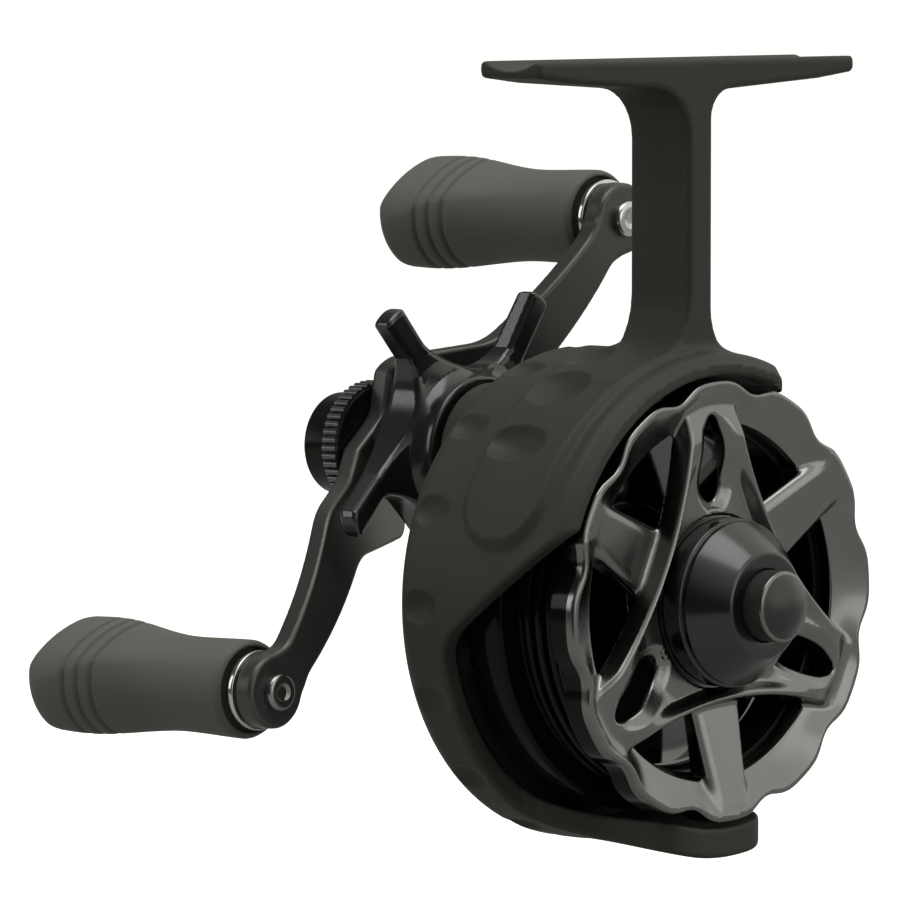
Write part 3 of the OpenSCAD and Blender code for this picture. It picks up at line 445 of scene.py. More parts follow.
SPOOL_AXIS = (0.0, 0.0, AXIS_Z * MM)
HANDLE_AXIS = (0.0, HANDLE_Y * MM, HANDLE_Z * MM)
SOFT_BLACK = finish_with("soft_touch_black", SKIN, {
    "Colour": (0.0295, 0.03, 0.0252), "Shade": (0.0255, 0.026, 0.0218), "Grain Scale": 5200.0,
    "Roughness Low": 0.5, "Roughness High": 0.6, "Dust": 0.05}, bump=0.12, specular=0.3)
GUNMETAL = finish_with("polished_gunmetal", SKIN, {
    "Colour": grey(0.21, 0.01), "Shade": grey(0.195, 0.01), "Grain Scale": 2600.0,
    "Roughness Low": 0.17, "Roughness High": 0.24, "Dust": 0.02}, metallic=1.0, bump=0.01)
GLOSS_DRUM = finish_with("gloss_black_drum", LATHE, {
    "Colour": grey(0.004), "Shade": grey(0.003),
    "Axis": SPOOL_AXIS, "Ring Scale": 7000.0,
    "Roughness Low": 0.1, "Roughness High": 0.16}, bump=0.03, specular=0.12)
DRUM_WEB = finish_with("polished_drum_web", LATHE, {
    "Colour": grey(0.15), "Shade": grey(0.135),
    "Axis": SPOOL_AXIS, "Ring Scale": 5000.0,
    "Roughness Low": 0.05, "Roughness High": 0.09}, metallic=1.0, bump=0.01)
SATIN_CAP = finish_with("satin_black_cap", LATHE, {
    "Colour": grey(0.004, 0.02), "Shade": grey(0.003, 0.02),
    "Axis": SPOOL_AXIS, "Ring Scale": 9000.0,
    "Roughness Low": 0.17, "Roughness High": 0.24}, bump=0.05, specular=0.75)
BUTTON_BLACK = finish_with("button_black", LATHE, {
    "Colour": grey(0.035, 0.02), "Shade": grey(0.03, 0.02),
    "Axis": SPOOL_AXIS, "Ring Scale": 6000.0,
    "Roughness Low": 0.3, "Roughness High": 0.38}, metallic=0.3, bump=0.03)
BUTTON_EDGE = finish_with("button_bright_edge", LATHE, {
    "Colour": grey(0.2, 0.01), "Shade": grey(0.17, 0.01),
    "Axis": SPOOL_AXIS, "Ring Scale": 6000.0,
    "Roughness Low": 0.2, "Roughness High": 0.28}, metallic=1.0, bump=0.02)
GLOSS_BLACK = finish_with("gloss_black", SKIN, {
    "Colour": grey(0.012, 0.02), "Shade": grey(0.009, 0.02), "Grain Scale": 2400.0,
    "Roughness Low": 0.17, "Roughness High": 0.23, "Dust": 0.01}, bump=0.01, specular=0.75)
ARM_BLACK = finish_with("arm_black", SKIN, {
    "Colour": grey(0.082, 0.02), "Shade": grey(0.072, 0.02), "Grain Scale": 3000.0,
    "Roughness Low": 0.34, "Roughness High": 0.42, "Dust": 0.01}, metallic=0.75, bump=0.008)
NUT_BLACK = finish_with("nut_black", LATHE, {
    "Colour": grey(0.006), "Shade": grey(0.005),
    "Axis": HANDLE_AXIS, "Ring Scale": 7000.0,
    "Roughness Low": 0.16, "Roughness High": 0.22}, bump=0.04, specular=0.15)
NUT_KNURL = finish_with("nut_knurl", SKIN, {
    "Colour": grey(0.14), "Shade": grey(0.11), "Grain Scale": 3000.0,
    "Roughness Low": 0.26, "Roughness High": 0.36, "Dust": 0.02}, metallic=0.9, bump=0.03)
GRIP_RUBBER = finish_with("grip_rubber", SKIN, {
    "Colour": (0.083, 0.0785, 0.0725), "Shade": (0.072, 0.0685, 0.063), "Grain Scale": 4200.0,
    "Roughness Low": 0.6, "Roughness High": 0.74, "Dust": 0.05}, bump=0.2, specular=0.35)
BRIGHT_STEEL = finish_with("bright_steel", LATHE, {
    "Colour": grey(0.62, 0.01), "Shade": grey(0.55, 0.01),
    "Axis": HANDLE_AXIS, "Ring Scale": 8000.0,
    "Roughness Low": 0.1, "Roughness High": 0.2}, metallic=1.0, bump=0.03)
TURNED_STEEL = finish_with("turned_steel", LATHE, {
    "Colour": grey(0.34), "Shade": grey(0.28),
    "Axis": SPOOL_AXIS, "Ring Scale": 7000.0,
    "Roughness Low": 0.24, "Roughness High": 0.36}, metallic=1.0, bump=0.05)
# Painted shade: a darker, rougher copy of the bright steel, used only on the lower spindle so that
# it looks shaded.
LOWER_SPINDLE_PAINTED_SHADE = finish_with("dark_steel", LATHE, {
    "Colour": grey(0.3), "Shade": grey(0.24),
    "Axis": HANDLE_AXIS, "Ring Scale": 7000.0,
    "Roughness Low": 0.2, "Roughness High": 0.3}, metallic=1.0, bump=0.03)
CUT_BRASS = finish_with("cut_brass", SKIN, {
    "Colour": (0.45, 0.29, 0.09), "Shade": (0.38, 0.23, 0.07), "Grain Scale": 2600.0,
    "Roughness Low": 0.24, "Roughness High": 0.36, "Dust": 0.03}, metallic=1.0, bump=0.03)
PLATE_BLACK = finish_with("plate_black", SKIN, {
    "Colour": grey(0.007), "Shade": grey(0.006), "Grain Scale": 3600.0,
    "Roughness Low": 0.42, "Roughness High": 0.55, "Dust": 0.01}, bump=0.06, specular=0.2)
DRAG_FIBRE = finish_with("drag_fibre", SKIN, {
    "Colour": (0.075, 0.055, 0.04), "Shade": (0.05, 0.037, 0.028), "Grain Scale": 6000.0,
    "Roughness Low": 0.7, "Roughness High": 0.85, "Dust": 0.05}, bump=0.25)


# Frame

CUP_R, CUP_BORE, BACK_X, FLOOR_X = 29.4, 26.8, -24.4, -22.4
RIM_X, BRIM = -16.6, 2.0
BRIM_CHAMFER = 1.4
BEYOND = BRIM + 12      # a station clear of the brim
REAR_EDGE = rounded([[RIM_X, -90, 0], [RIM_X, -4, 5], [BRIM, 9.9, 4], [BEYOND, 9.9, 0],
                     [BEYOND, -90, 0]])
TONGUE_HALF, TONGUE_ROOT, TONGUE_RISE = 8.5, 17.5, 1.0
TONGUE_EDGE = rounded([
    [RIM_X - 3, -TONGUE_ROOT, 0], [RIM_X, -TONGUE_ROOT, 0], [RIM_X, -TONGUE_HALF, 8.8],
    [BRIM, -TONGUE_HALF, 4], [BRIM, TONGUE_HALF, 4], [RIM_X, TONGUE_HALF, 8.8],
    [RIM_X, TONGUE_ROOT, 0], [RIM_X - 3, TONGUE_ROOT, 0]])
PAD_EDGE = rounded([[-6, -7.8, 5.9], [6, -7.8, 5.9], [8, 24, 0], [-6, 24, 0]])
PAD_TURN, PAD_STATION, PAD_HEIGHT = math.radians(60), -8.6, 0.9
STEM_FRONT, STEM_REAR = 1.25, -2.75
FOOT_EDGE = rounded([
    [-28.6, 0, 0.7], [26.6, 0, 0.7], [26.6, -2, 0.7], [20.6, -2.7, 6], [STEM_FRONT, -3.9, 3.5],
    [STEM_FRONT, -35, 7], [14, -38.15, 0], [14, -41, 0], [-14, -41, 0], [-14, -38.15, 0],
    [STEM_REAR, -35, 9.5], [STEM_REAR, -3.9, 6], [-22.6, -2.7, 6], [-28.6, -2, 0.7]])
FOOT_HALF, SADDLE_R, SADDLE_DEPTH = 4.9, 8, 1.2
LIP = math.radians(68)
SMALL_DIMPLES, DIMPLE_ROW = [math.radians(22.5 * i) for i in range(16)], -20
# Angle, station, depth and oval of each dimple on the pad
LARGE_DIMPLES = [(math.radians(122), -10, 1.4, 1.25), (math.radians(140), -10, 1.4, 1.65),
                 (math.radians(107), -12, 0.9, 1.25)]
SMALL_BALL, SMALL_DEPTH, SMALL_OVAL, LARGE_BALL = 5.6, 0.85, 1.45, 8.0
BEARING_BOSS_R, BEARING_BOSS_END, BEARING_SEAT_R = 8.4, -29.6, 7.02
CENTRE_BOSS_R, CENTRE_BOSS_END, BOSS_ROOT = 6, -25.6, -23.5
POSTS = [math.radians(a) for a in (20, 195, 285)]
POST_CIRCLE, POST_R, POST_ROOT, POST_TOP = 23.6, 2.2, -23, -18.2
SHAFT_BORE_R, REAR_SEAT_R, REAR_SEAT_X = 1.8, 3.52, -24.8


def frame_field(x, y, z):
    s, h = x - FACE_X, z - AXIS_Z
    r = np.hypot(y, h)
    across, outward = turned_to(PAD_TURN, y, h)
    pad = outline_distance(PAD_EDGE, s - PAD_STATION, across)
    raise_pad = PAD_HEIGHT * step_up(-pad, -0.55, 0.75) * step_up(outward, 0, 6)
    skin = r - CUP_R - raise_pad
    chamfer = (r + s - CUP_R - BRIM + BRIM_CHAMFER) / math.sqrt(2)
    shell = common(skin, BACK_X - s, 3.2)
    shell = common(shell, np.maximum(s - BRIM, chamfer), 0.4)
    shell = cut(shell, np.maximum(r - CUP_BORE, FLOOR_X - s), 0.35)
    rear_gap = np.maximum(outline_distance(REAR_EDGE, s, h), y - 0.5)
    lip_line = y * math.sin(LIP) - h * math.cos(LIP)
    front_gap = np.maximum(np.maximum(-lip_line, RIM_X - s), np.where(h > 0, -lip_line, -y - 0.5))
    shell = cut(shell, front_gap, 1.1)
    shell = cut(shell, rear_gap, 0.5)
    tongue_r = CUP_R + TONGUE_RISE * step_up(s, RIM_X, BRIM + 3)
    tongue = np.maximum(outline_distance(TONGUE_EDGE, s, y), h)
    tongue = common(tongue, between(r, CUP_BORE, tongue_r), 0.5)
    shell = join(shell, tongue, 0.3)
    foot = common(outline_distance(FOOT_EDGE, y, z), np.abs(x) - FOOT_HALF, 0.7)
    saddle = np.hypot(x, z - SADDLE_R + SADDLE_DEPTH) - SADDLE_R
    foot = cut(foot, saddle, 0.25)
    foot = np.maximum(foot, CUP_BORE + 0.8 - r)
    body = join(shell, foot, 1.6)
    dimples = [(angle, DIMPLE_ROW, CUP_R - SMALL_DEPTH, SMALL_BALL, SMALL_OVAL)
               for angle in SMALL_DIMPLES]
    dimples += [(angle, place, CUP_R + PAD_HEIGHT - depth, LARGE_BALL, oval)
                for angle, place, depth, oval in LARGE_DIMPLES]
    for angle, place, low, ball, oval in dimples:
        outward, aside = turned_to(angle, y, h)
        hollow = np.sqrt((s - place) ** 2 + (oval * aside) ** 2
                         + (outward - low - ball) ** 2) - ball
        body = cut(body, hollow, 0.13)
    handle = np.hypot(y - HANDLE_Y, z - HANDLE_Z)
    bearing_boss = common(handle - BEARING_BOSS_R, between(s, BEARING_BOSS_END, BOSS_ROOT), 0.5)
    centre_boss = common(r - CENTRE_BOSS_R, between(s, CENTRE_BOSS_END, BOSS_ROOT), 0.4)
    body = join(join(body, bearing_boss, 1.2), centre_boss, 0.8)
    for angle in POSTS:
        post_y, post_h = POST_CIRCLE * math.cos(angle), POST_CIRCLE * math.sin(angle)
        post = np.hypot(y - post_y, h - post_h) - POST_R
        body = join(body, common(post, between(s, POST_ROOT, POST_TOP), 0.2), 0.4)
    body = cut(body, np.maximum(handle - BEARING_SEAT_R, s - FLOOR_X - 1), 0.3)
    body = cut(body, np.maximum(r - SHAFT_BORE_R, s - FLOOR_X - 1), 0.15)
    return np.maximum(body, -np.maximum(r - REAR_SEAT_R, REAR_SEAT_X - s))


frame_skin = moulded("frame_skin", frame_field, (-24.2, -31, -95.2), (9.2, 31, 0.6), 0.42)
frame_skin.data.materials.append(SOFT_BLACK)
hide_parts("frame")
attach(frame_skin, "frame")


# Spool face

FACE_R, FACE_BACK, FACE_TURN = 26.2, -2.0, math.radians(4.7)
HOLLOW, HOLLOWS, HOLLOW_TURN = 1.3, 12, math.radians(93)
RING_R, RING_DISH, RING_SLOPE = 21.2, 1.9, 4.0
HUB_R, HUB_FRONT, HUB_BORE, CAP_SEAT_R, CAP_SEAT_X = 11.1, 0.8, 7.22, 10.3, 0.6
STAR_REACH, STAR_WAIST, STAR_RIDGE, STAR_BACK, STAR_TIP_FRONT = 24.0, 11.6, 2.4, -0.4, 1.2
STAR_HALF_ANGLE = math.asin(4 / STAR_REACH)
STAR_TIP = (STAR_REACH * math.cos(math.radians(60) - STAR_HALF_ANGLE),
            STAR_REACH * math.sin(math.radians(60) - STAR_HALF_ANGLE))
STAR_CENTRE = (STAR_REACH ** 2 - STAR_WAIST ** 2) / (2 * (STAR_TIP[0] - STAR_WAIST))
EYELET_MIDDLE, EYELET_HALF_LENGTH, EYELET_HALF_WIDTH, EYELET_TAPER = 17, 5.2, 2.0, 0.12
EYELET_LEAN, EYELET_END = 0.05, 22
EYELET = [(EYELET_MIDDLE + EYELET_HALF_LENGTH * math.cos(t),
           EYELET_HALF_WIDTH * math.sin(t) * (1 - EYELET_TAPER * math.cos(t)))
          for t in np.arange(40) * math.pi / 20]
BAR_RISE, BAR_START, BAR_RUN, BAR_ROUND = 2.0, 12.6, 12.8, 0.3
BAR_EDGE = [(6.0, -4.8), (25.5, -2.8), (25.5, 2.8), (6.0, 4.8)]
# Painted shade: behind this station and beyond this radius, the gunmetal rim's outer side gets the
# black drum finish, standing in for its dark side.
RIM_PAINTED_SHADE_STATION, RIM_PAINTED_SHADE_R = 0.75, 23.6  # the rim's side is black behind that station


def spool_field(x, y, z):
    s, h = x - FACE_X, z - AXIS_Z
    r = np.hypot(y, h)
    angle = np.arctan2(h, y)
    hollow = HOLLOW * ((1 - np.cos(HOLLOWS * (angle - HOLLOW_TURN))) / 2) ** 2.5
    wavy = r + hollow * step_up(r, 21.5, 25.2)
    front = RING_DISH * np.clip((wavy - RING_R) / RING_SLOPE, 0, 1.05) ** 1.15
    ring = common(wavy - FACE_R, s - front, 0.45)
    ring = common(ring, np.maximum(RING_R - r, FACE_BACK - s), 0.3)
    star = bars = eyelets = 1e3
    for i in range(3):
        turn = FACE_TURN + math.radians(90 + 120 * i)
        along, aside = turned_to(turn, y, h)
        leaning = aside + EYELET_LEAN * (EYELET_END - along)
        eyelets = np.minimum(eyelets, outline_distance(EYELET, along, leaning))
        turn = FACE_TURN + math.radians(30 + 120 * i)
        along, aside = turned_to(turn, y, h)
        hollow_side = np.hypot(along - STAR_CENTRE, aside) - (STAR_CENTRE - STAR_WAIST)
        star = np.maximum(star, -hollow_side) if i else np.maximum(r - STAR_REACH, -hollow_side)
        bars = np.minimum(bars, outline_distance(BAR_EDGE, along, aside))
    star_front = STAR_RIDGE - (STAR_RIDGE - STAR_TIP_FRONT) * step_up(r, 19.5, 24.2)
    star_front = star_front - 0.8 * step_up(-eyelets, -1.7, 0.1) * step_up(r, 23, 20)
    star_front = star_front - 1.5 * step_up(-star, 0.3, 1.8) * step_up(r, 19, 13)
    star = star - 0.2 * np.clip(STAR_RIDGE - s, 0, 3)
    star = common(common(star, s - star_front, 0.5), STAR_BACK - s, 0.2)
    bar_front = BAR_RISE * np.clip((r - BAR_START) / BAR_RUN, 0, 1.05)
    bar_front = bar_front - BAR_ROUND * step_up(np.abs(bars), 1.6, 0)
    bars = common(common(bars, s - bar_front, 0.8), FACE_BACK - s, 0.2)
    body = join(join(ring, bars, 1.0), star, 0.8)
    body = np.minimum(body, common(r - HUB_R, between(s, FACE_BACK, HUB_FRONT), 0.3))
    body = cut(body, eyelets, 0.4)
    body = cut(body, np.maximum(r - CAP_SEAT_R, CAP_SEAT_X - s), 0.25)
    return cut(body, r - HUB_BORE, 0.1)


spool_star = moulded("spool_star", spool_field, (3.4, -27, -91), (9.8, 27, -37), 0.27)
spool_star.data.materials.append(GUNMETAL)
# Painted shade: black gloss on the outer side of the gunmetal rim, where the rim only looks dark.
second_finish(spool_star, GLOSS_DRUM, lambda station, radius, normal_x:
              station < RIM_PAINTED_SHADE_STATION and radius > RIM_PAINTED_SHADE_R and abs(normal_x) < 0.7)
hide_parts("spool_face")
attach(spool_star, "spool")


# Drum, hub cap and button

ARBOR_R, RIDGE_R, RIDGE_HALF, DRUM_INNER = 22.2, 23.1, 0.54, 20.4
WEB_X, WEB_FINISH_R = -7.2, 20.2
DRUM = [[-15.6, DRUM_INNER, 0], [-15.6, 25.5, 0.5], [-10.4, 25.5, 0.6], [-10.4, ARBOR_R, 0.3]]
for ridge in (-8.6, -6.8, -5.0):
    DRUM += [[ridge - RIDGE_HALF, ARBOR_R, 0.15], [ridge - RIDGE_HALF, RIDGE_R, 0.3],
             [ridge + RIDGE_HALF, RIDGE_R, 0.3], [ridge + RIDGE_HALF, ARBOR_R, 0.15]]
DRUM += [[-3.2, ARBOR_R, 0.2], [-3.2, 24.3, 0.3], [-2.0, 24.3, 0.2], [-2.0, DRUM_INNER, 0.3],
         [WEB_X, DRUM_INNER, 0.8], [WEB_X, 7.2, 0.8], [3.2, 7.2, 0.2], [3.2, 1.6, 0], [2.4, 1.6, 0],
         [2.4, 4.72, 0], [-9.0, 4.72, 0.3], [-9.0, DRUM_INNER, 0.4]]
drum = turned("spool_drum_turned", rounded(DRUM, 4), 0, AXIS_Z, 160)
drum.data.materials.append(GLOSS_DRUM)
second_finish(drum, DRUM_WEB, lambda station, radius, normal_x:
              abs(station - WEB_X) < 0.5 and radius < WEB_FINISH_R and normal_x > 0.5)
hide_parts("spool_drum")
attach(drum, "spool")

CAP = [[0.6, 8.7, 0], [0.6, 10.0, 0.2], [3.7, 10.0, 0.25], [3.8, 9.65, 0.1], [4.15, 9.6, 0.1],
       [4.3, 9.9, 0.3], [8.6, 6.25, 0.6], [8.6, 4.26, 0.25], [7.3, 4.26, 0], [7.3, 5.3, 0],
       [4.2, 8.7, 0]]
cap = turned("hub_cap_turned", rounded(CAP, 6), 0, AXIS_Z, 128)
cap.data.materials.append(SATIN_CAP)
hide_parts("hub_cap")
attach(cap, "spool")

DOME_R, DOME_RISE, DOME_TOP, DOME_EDGE = 3.8, 1.4, 12.8, 3.75
DOME_BALL = (DOME_R ** 2 + DOME_RISE ** 2) / (2 * DOME_RISE)
BRIGHT_EDGE_X, BRIGHT_EDGE_R = 11.0, 3.78
dome = [(DOME_TOP - DOME_BALL + DOME_BALL * math.cos(t), DOME_BALL * math.sin(t))
        for t in np.linspace(math.asin(DOME_EDGE / DOME_BALL), 0, 14)]
button_side = rounded([
    [7.8, 2.0, 0], [6.5, 2.0, 0], [6.5, 5.0, 0.1], [7.3, 5.0, 0.1], [7.3, 4.2, 0],
    [11.35, 4.2, 0.3], [11.4, DOME_R, 0.1], [12.0, 3.3, 0]], 5)[:-1]
button = turned("release_button_turned", button_side + dome + [(7.8, 0.0)], 0, AXIS_Z, 96, sharp=40)
button.data.materials.append(BUTTON_BLACK)
second_finish(button, BUTTON_EDGE, lambda station, radius, normal_x:
              station > BRIGHT_EDGE_X and radius > BRIGHT_EDGE_R)
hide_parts("release_button")
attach(button, "release_button")

SPRING_SEAT, SPRING_TOP, SPRING_R, SPRING_WIRE, SPRING_TURNS = 3.2, 6.5, 3.2, 0.25, 4
spring = coiled("button_spring_coil", SPRING_SEAT + SPRING_WIRE, SPRING_TOP - SPRING_WIRE,
                SPRING_R, SPRING_WIRE, SPRING_TURNS)
spring.data.materials.append(TURNED_STEEL)
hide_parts("button_spring")
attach(spring, "spool")
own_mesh(spring)


# Handle arm

ARM_SIDE = [[36.5, 2.5, 0], [17.01, 1.5, 6], [6.28, 8.9, 3], [0.81, 4.5, 4], [-10.125, 4.5, 8],
            [-17.415, 6.6, 9], [-36.5, 2.5, 0]]
ARM_OUTLINE = rounded(ARM_SIDE + [[-u, -v, r] for u, v, r in ARM_SIDE])
ARM_X, ARM_T, ARM_SWEEP = -44.5, 2.8, 9.5
ARM_FLAT, ARM_RUN = 5, 31.1
ARM_EYE_R, ARM_EYE_BORE, ARM_BORE = 4.4, 1.95, 2.54


def arm_field(x, y, z):
    s = x - FACE_X
    dy, dz = y - HANDLE_Y, z - HANDLE_Z
    u, v = turned_to(ARM_ANGLE, dy, dz)
    rise = ARM_SWEEP * np.sin(math.pi / 2 * np.clip((np.abs(u) - ARM_FLAT) / ARM_RUN, 0, 1))
    side = outline_distance(ARM_OUTLINE, u, v)
    ends = np.hypot(np.abs(u) - CRANK, v)
    side = join(side, ends - ARM_EYE_R, 2.4)
    body = common(side, np.abs(s - rise - ARM_X + ARM_T / 2) - ARM_T / 2, 0.55)
    body = cut(body, ends - ARM_EYE_BORE, 0.1)
    return cut(body, np.hypot(u, v) - ARM_BORE, 0.1)


arm = moulded("handle_arm_forged", arm_field, (-42.5, -43.5, -80), (-27.5, 28.5, -15), 0.36)
arm.data.materials.append(ARM_BLACK)
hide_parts("handle_arm")
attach(arm, "handle")


# Star drag

FINGERS, FINGER_REACH, FINGER_WAIST, FINGER_CURL, FINGER_HALF = 5, 21.8, 10.0, 12, 1.95
FINGER_TURN, FINGER_STEPS, FINGER_ROUND = 57.5, 48, 0.7
DRAG_START, DRAG_END, DRAG_LEAN, DRAG_RUN, DRAG_HUB = -30.0, -38.6, 4.6, 13.6, 9.2
DRAG_RECESS_R, DRAG_RECESS, DRAG_BORE = 5, 1.6, 2.58
# Radius and station along the inner side of the fingers
DRAG_FLARE = [(9.2, -32.0), (10, -32.75), (11, -33.2), (12, -33.4), (13.5, -33.42), (15, -33.2),
              (17, -32.65), (20, -31.8), (22.8, -31.0)]


def finger_outline():
    pitch = 360 / FINGERS
    half = math.degrees(math.asin(FINGER_HALF / FINGER_REACH))
    tip_angle = math.radians(pitch / 2 - half)
    tip = FINGER_REACH * np.array((math.cos(tip_angle), math.sin(tip_angle)))
    centre = (tip @ tip - FINGER_WAIST ** 2) / (2 * (tip[0] - FINGER_WAIST))
    points = []
    for i in range(FINGERS * FINGER_STEPS):
        a = (i % FINGER_STEPS / FINGER_STEPS - 0.5) * pitch
        b = math.radians(pitch / 2 - abs(a))
        r = FINGER_REACH
        if abs(a) > half:
            r = centre * math.cos(b) - math.sqrt((centre - FINGER_WAIST) ** 2
                                                 - (centre * math.sin(b)) ** 2)
        r = min(r, FINGER_REACH - FINGER_ROUND * min(abs(a) / half, 1) ** 3)
        turn = math.radians(FINGER_TURN + i // FINGER_STEPS * pitch + a
                            - FINGER_CURL * (FINGER_REACH - r) / (FINGER_REACH - FINGER_WAIST))
        points.append((r * math.cos(turn), r * math.sin(turn)))
    return points


FINGER_OUTLINE = finger_outline()


def drag_field(x, y, z):
    s = x - FACE_X
    dy, dz = y - HANDLE_Y, z - HANDLE_Z
    r = np.hypot(dy, dz)
    outer = DRAG_END + DRAG_LEAN * np.clip((r - DRAG_HUB) / DRAG_RUN, 0, 1)
    inner = np.interp(r, *np.array(DRAG_FLARE).T)
    fingers = common(outline_distance(FINGER_OUTLINE, dy, dz),
                     np.maximum(outer - s, s - inner), 0.8)
    hub = common(r - DRAG_HUB, between(s, DRAG_END, DRAG_START), 0.5)
    body = join(fingers, hub, 1.3)
    body = cut(body, np.maximum(r - DRAG_RECESS_R, DRAG_START - DRAG_RECESS - s), 0.15)
    return cut(body, r - DRAG_BORE, 0.1)


drag = moulded("star_drag_moulded", drag_field, (-33.5, -31, -71), (-22.5, 16, -24), 0.34)
drag.data.materials.append(GLOSS_BLACK)
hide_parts("star_drag")
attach(drag, "star_drag")


# Handle nut

NUT_R, NUT_RISE, NUT_END, NUT_DOME_EDGE = 6.2, 0.9, -55.2, 5.8
NUT_BORE, NUT_BORE_END, KNURL_X = 2.56, -51.3, -48.6
NUT_BALL = (NUT_R ** 2 + NUT_RISE ** 2) / (2 * NUT_RISE)
nut_dome = [(NUT_END + NUT_BALL - NUT_BALL * math.cos(t), NUT_BALL * math.sin(t))
            for t in np.linspace(0, math.asin(NUT_DOME_EDGE / NUT_BALL), 12)]
nut_side = rounded([
    [-54.9, 5.7, 0], [-54.3, NUT_R, 0.3], [-50.1, NUT_R, 0.2], [-49.8, 7.4, 0.3], [-47.4, 7.4, 0.3],
    [-47.4, NUT_BORE, 0], [NUT_BORE_END, NUT_BORE, 0]], 5)[1:]
nut = turned("handle_nut_turned", nut_dome + nut_side + [(NUT_BORE_END, 0.0)],
             HANDLE_Y, HANDLE_Z, 96, sharp=40)
nut.data.materials.append(NUT_BLACK)
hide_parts("handle_nut")
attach(nut, "handle_nut")


def ridge_band_tree():
    """A band of round ridges: short bars set round a circle, each turned to face outwards."""
    tree, given, out = group_tree(
        "ridge_band", "GeometryNodeTree",
        [("Geometry", "NodeSocketGeometry", None), ("Ridges", "NodeSocketInt", 30),
         ("Centre", "NodeSocketVector", (0.0, 0.0, 0.0)),
         ("Circle Radius", "NodeSocketFloat", 0.0065), ("Ridge Radius", "NodeSocketFloat", 0.0004),
         ("Ridge Length", "NodeSocketFloat", 0.003), ("Finish", "NodeSocketMaterial", None)],
        [("Geometry", "NodeSocketGeometry")])
    link = tree.links.new
    points = tree.nodes.new("GeometryNodePoints")
    link(given.outputs["Ridges"], points.inputs["Count"])
    index = tree.nodes.new("GeometryNodeInputIndex").outputs[0]
    share = maths(tree, "DIVIDE", index, given.outputs["Ridges"])
    turn = maths(tree, "MULTIPLY", share, 2 * math.pi)
    across = maths(tree, "MULTIPLY", maths(tree, "COSINE", turn), given.outputs["Circle Radius"])
    upward = maths(tree, "MULTIPLY", maths(tree, "SINE", turn), given.outputs["Circle Radius"])
    ring = tree.nodes.new("ShaderNodeCombineXYZ")
    link(across, ring.inputs["Y"])
    link(upward, ring.inputs["Z"])
    place = tree.nodes.new("ShaderNodeVectorMath")
    link(ring.outputs[0], place.inputs[0])
    link(given.outputs["Centre"], place.inputs[1])
    link(place.outputs[0], points.inputs["Position"])
    bar = tree.nodes.new("GeometryNodeMeshCylinder")
    bar.inputs["Vertices"].default_value = 12
    bar.inputs["Side Segments"].default_value = 1
    link(given.outputs["Ridge Radius"], bar.inputs["Radius"])
    link(given.outputs["Ridge Length"], bar.inputs["Depth"])
    laid = tree.nodes.new("GeometryNodeTransform")
    laid.inputs["Rotation"].default_value = (0.0, math.pi / 2, 0.0)
    link(bar.outputs["Mesh"], laid.inputs["Geometry"])
    facing = tree.nodes.new("ShaderNodeCombineXYZ")
    link(turn, facing.inputs["X"])
    copies = tree.nodes.new("GeometryNodeInstanceOnPoints")
    link(points.outputs[0], copies.inputs["Points"])
    link(laid.outputs[0], copies.inputs["Instance"])
    link(facing.outputs[0], copies.inputs["Rotation"])
    real = tree.nodes.new("GeometryNodeRealizeInstances")
    link(copies.outputs[0], real.inputs[0])
    finish = tree.nodes.new("GeometryNodeSetMaterial")
    link(real.outputs[0], finish.inputs["Geometry"])
    link(given.outputs["Finish"], finish.inputs["Material"])
    link(finish.outputs[0], out.inputs["Geometry"])
    return tree


def grown(name, tree, values):
    """The mesh that a Geometry Nodes tree makes, as a plain piece."""
    base = bpy.data.meshes.new(name + "_base")
    piece = new_piece(name, base)
    change = piece.modifiers.new("rule", "NODES")
    change.node_group = tree
    sockets = {item.name: item.identifier for item in tree.interface.items_tree
               if item.item_type == "SOCKET" and item.in_out == "INPUT"}
    for label, value in values.items():
        change[sockets[label]] = value
    piece.update_tag()
    graph = bpy.context.evaluated_depsgraph_get()
    graph.update()
    mesh = bpy.data.meshes.new_from_object(piece.evaluated_get(graph),
                                           preserve_all_data_layers=True, depsgraph=graph)
    piece.modifiers.remove(change)
    piece.data = mesh
    mesh.name = name
    bpy.data.meshes.remove(base)
    mesh.materials.pop(index=0)
    mesh.shade_smooth()
    mesh.set_sharp_from_angle(angle=math.radians(45))
    return piece


knurl = grown("handle_nut_knurl", ridge_band_tree(), {
    "Ridges": 48, "Centre": ((KNURL_X + FACE_X) * MM, HANDLE_Y * MM, HANDLE_Z * MM),
    "Circle Radius": 7.48 * MM, "Ridge Radius": 0.42 * MM, "Ridge Length": 2.2 * MM,
    "Finish": NUT_KNURL})
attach(knurl, "handle_nut")


# Grips

GRIP_X, GRIP_END, GRIP_BODY, GRIP_R = -39.0, -71.5, 28.2, 5.9
GRIP_GROOVES = [GRIP_X - GRIP_BODY + 3.35 + 2.05 * i for i in range(3)]
GROOVE_DEPTH, GROOVE_WIDTH = 0.42, 0.3
PADDLE_SET = 11.0       # how far each flat side's curve has its centre beyond the axis
COLLAR_SEAT_R, COLLAR_SEAT = 5.1, 1.2
SPINDLE_HOLE_R, SPINDLE_HOLE_END = 1.96, -66.8
GRIP_ROOM = 8.6         # half the width of the space that holds a grip


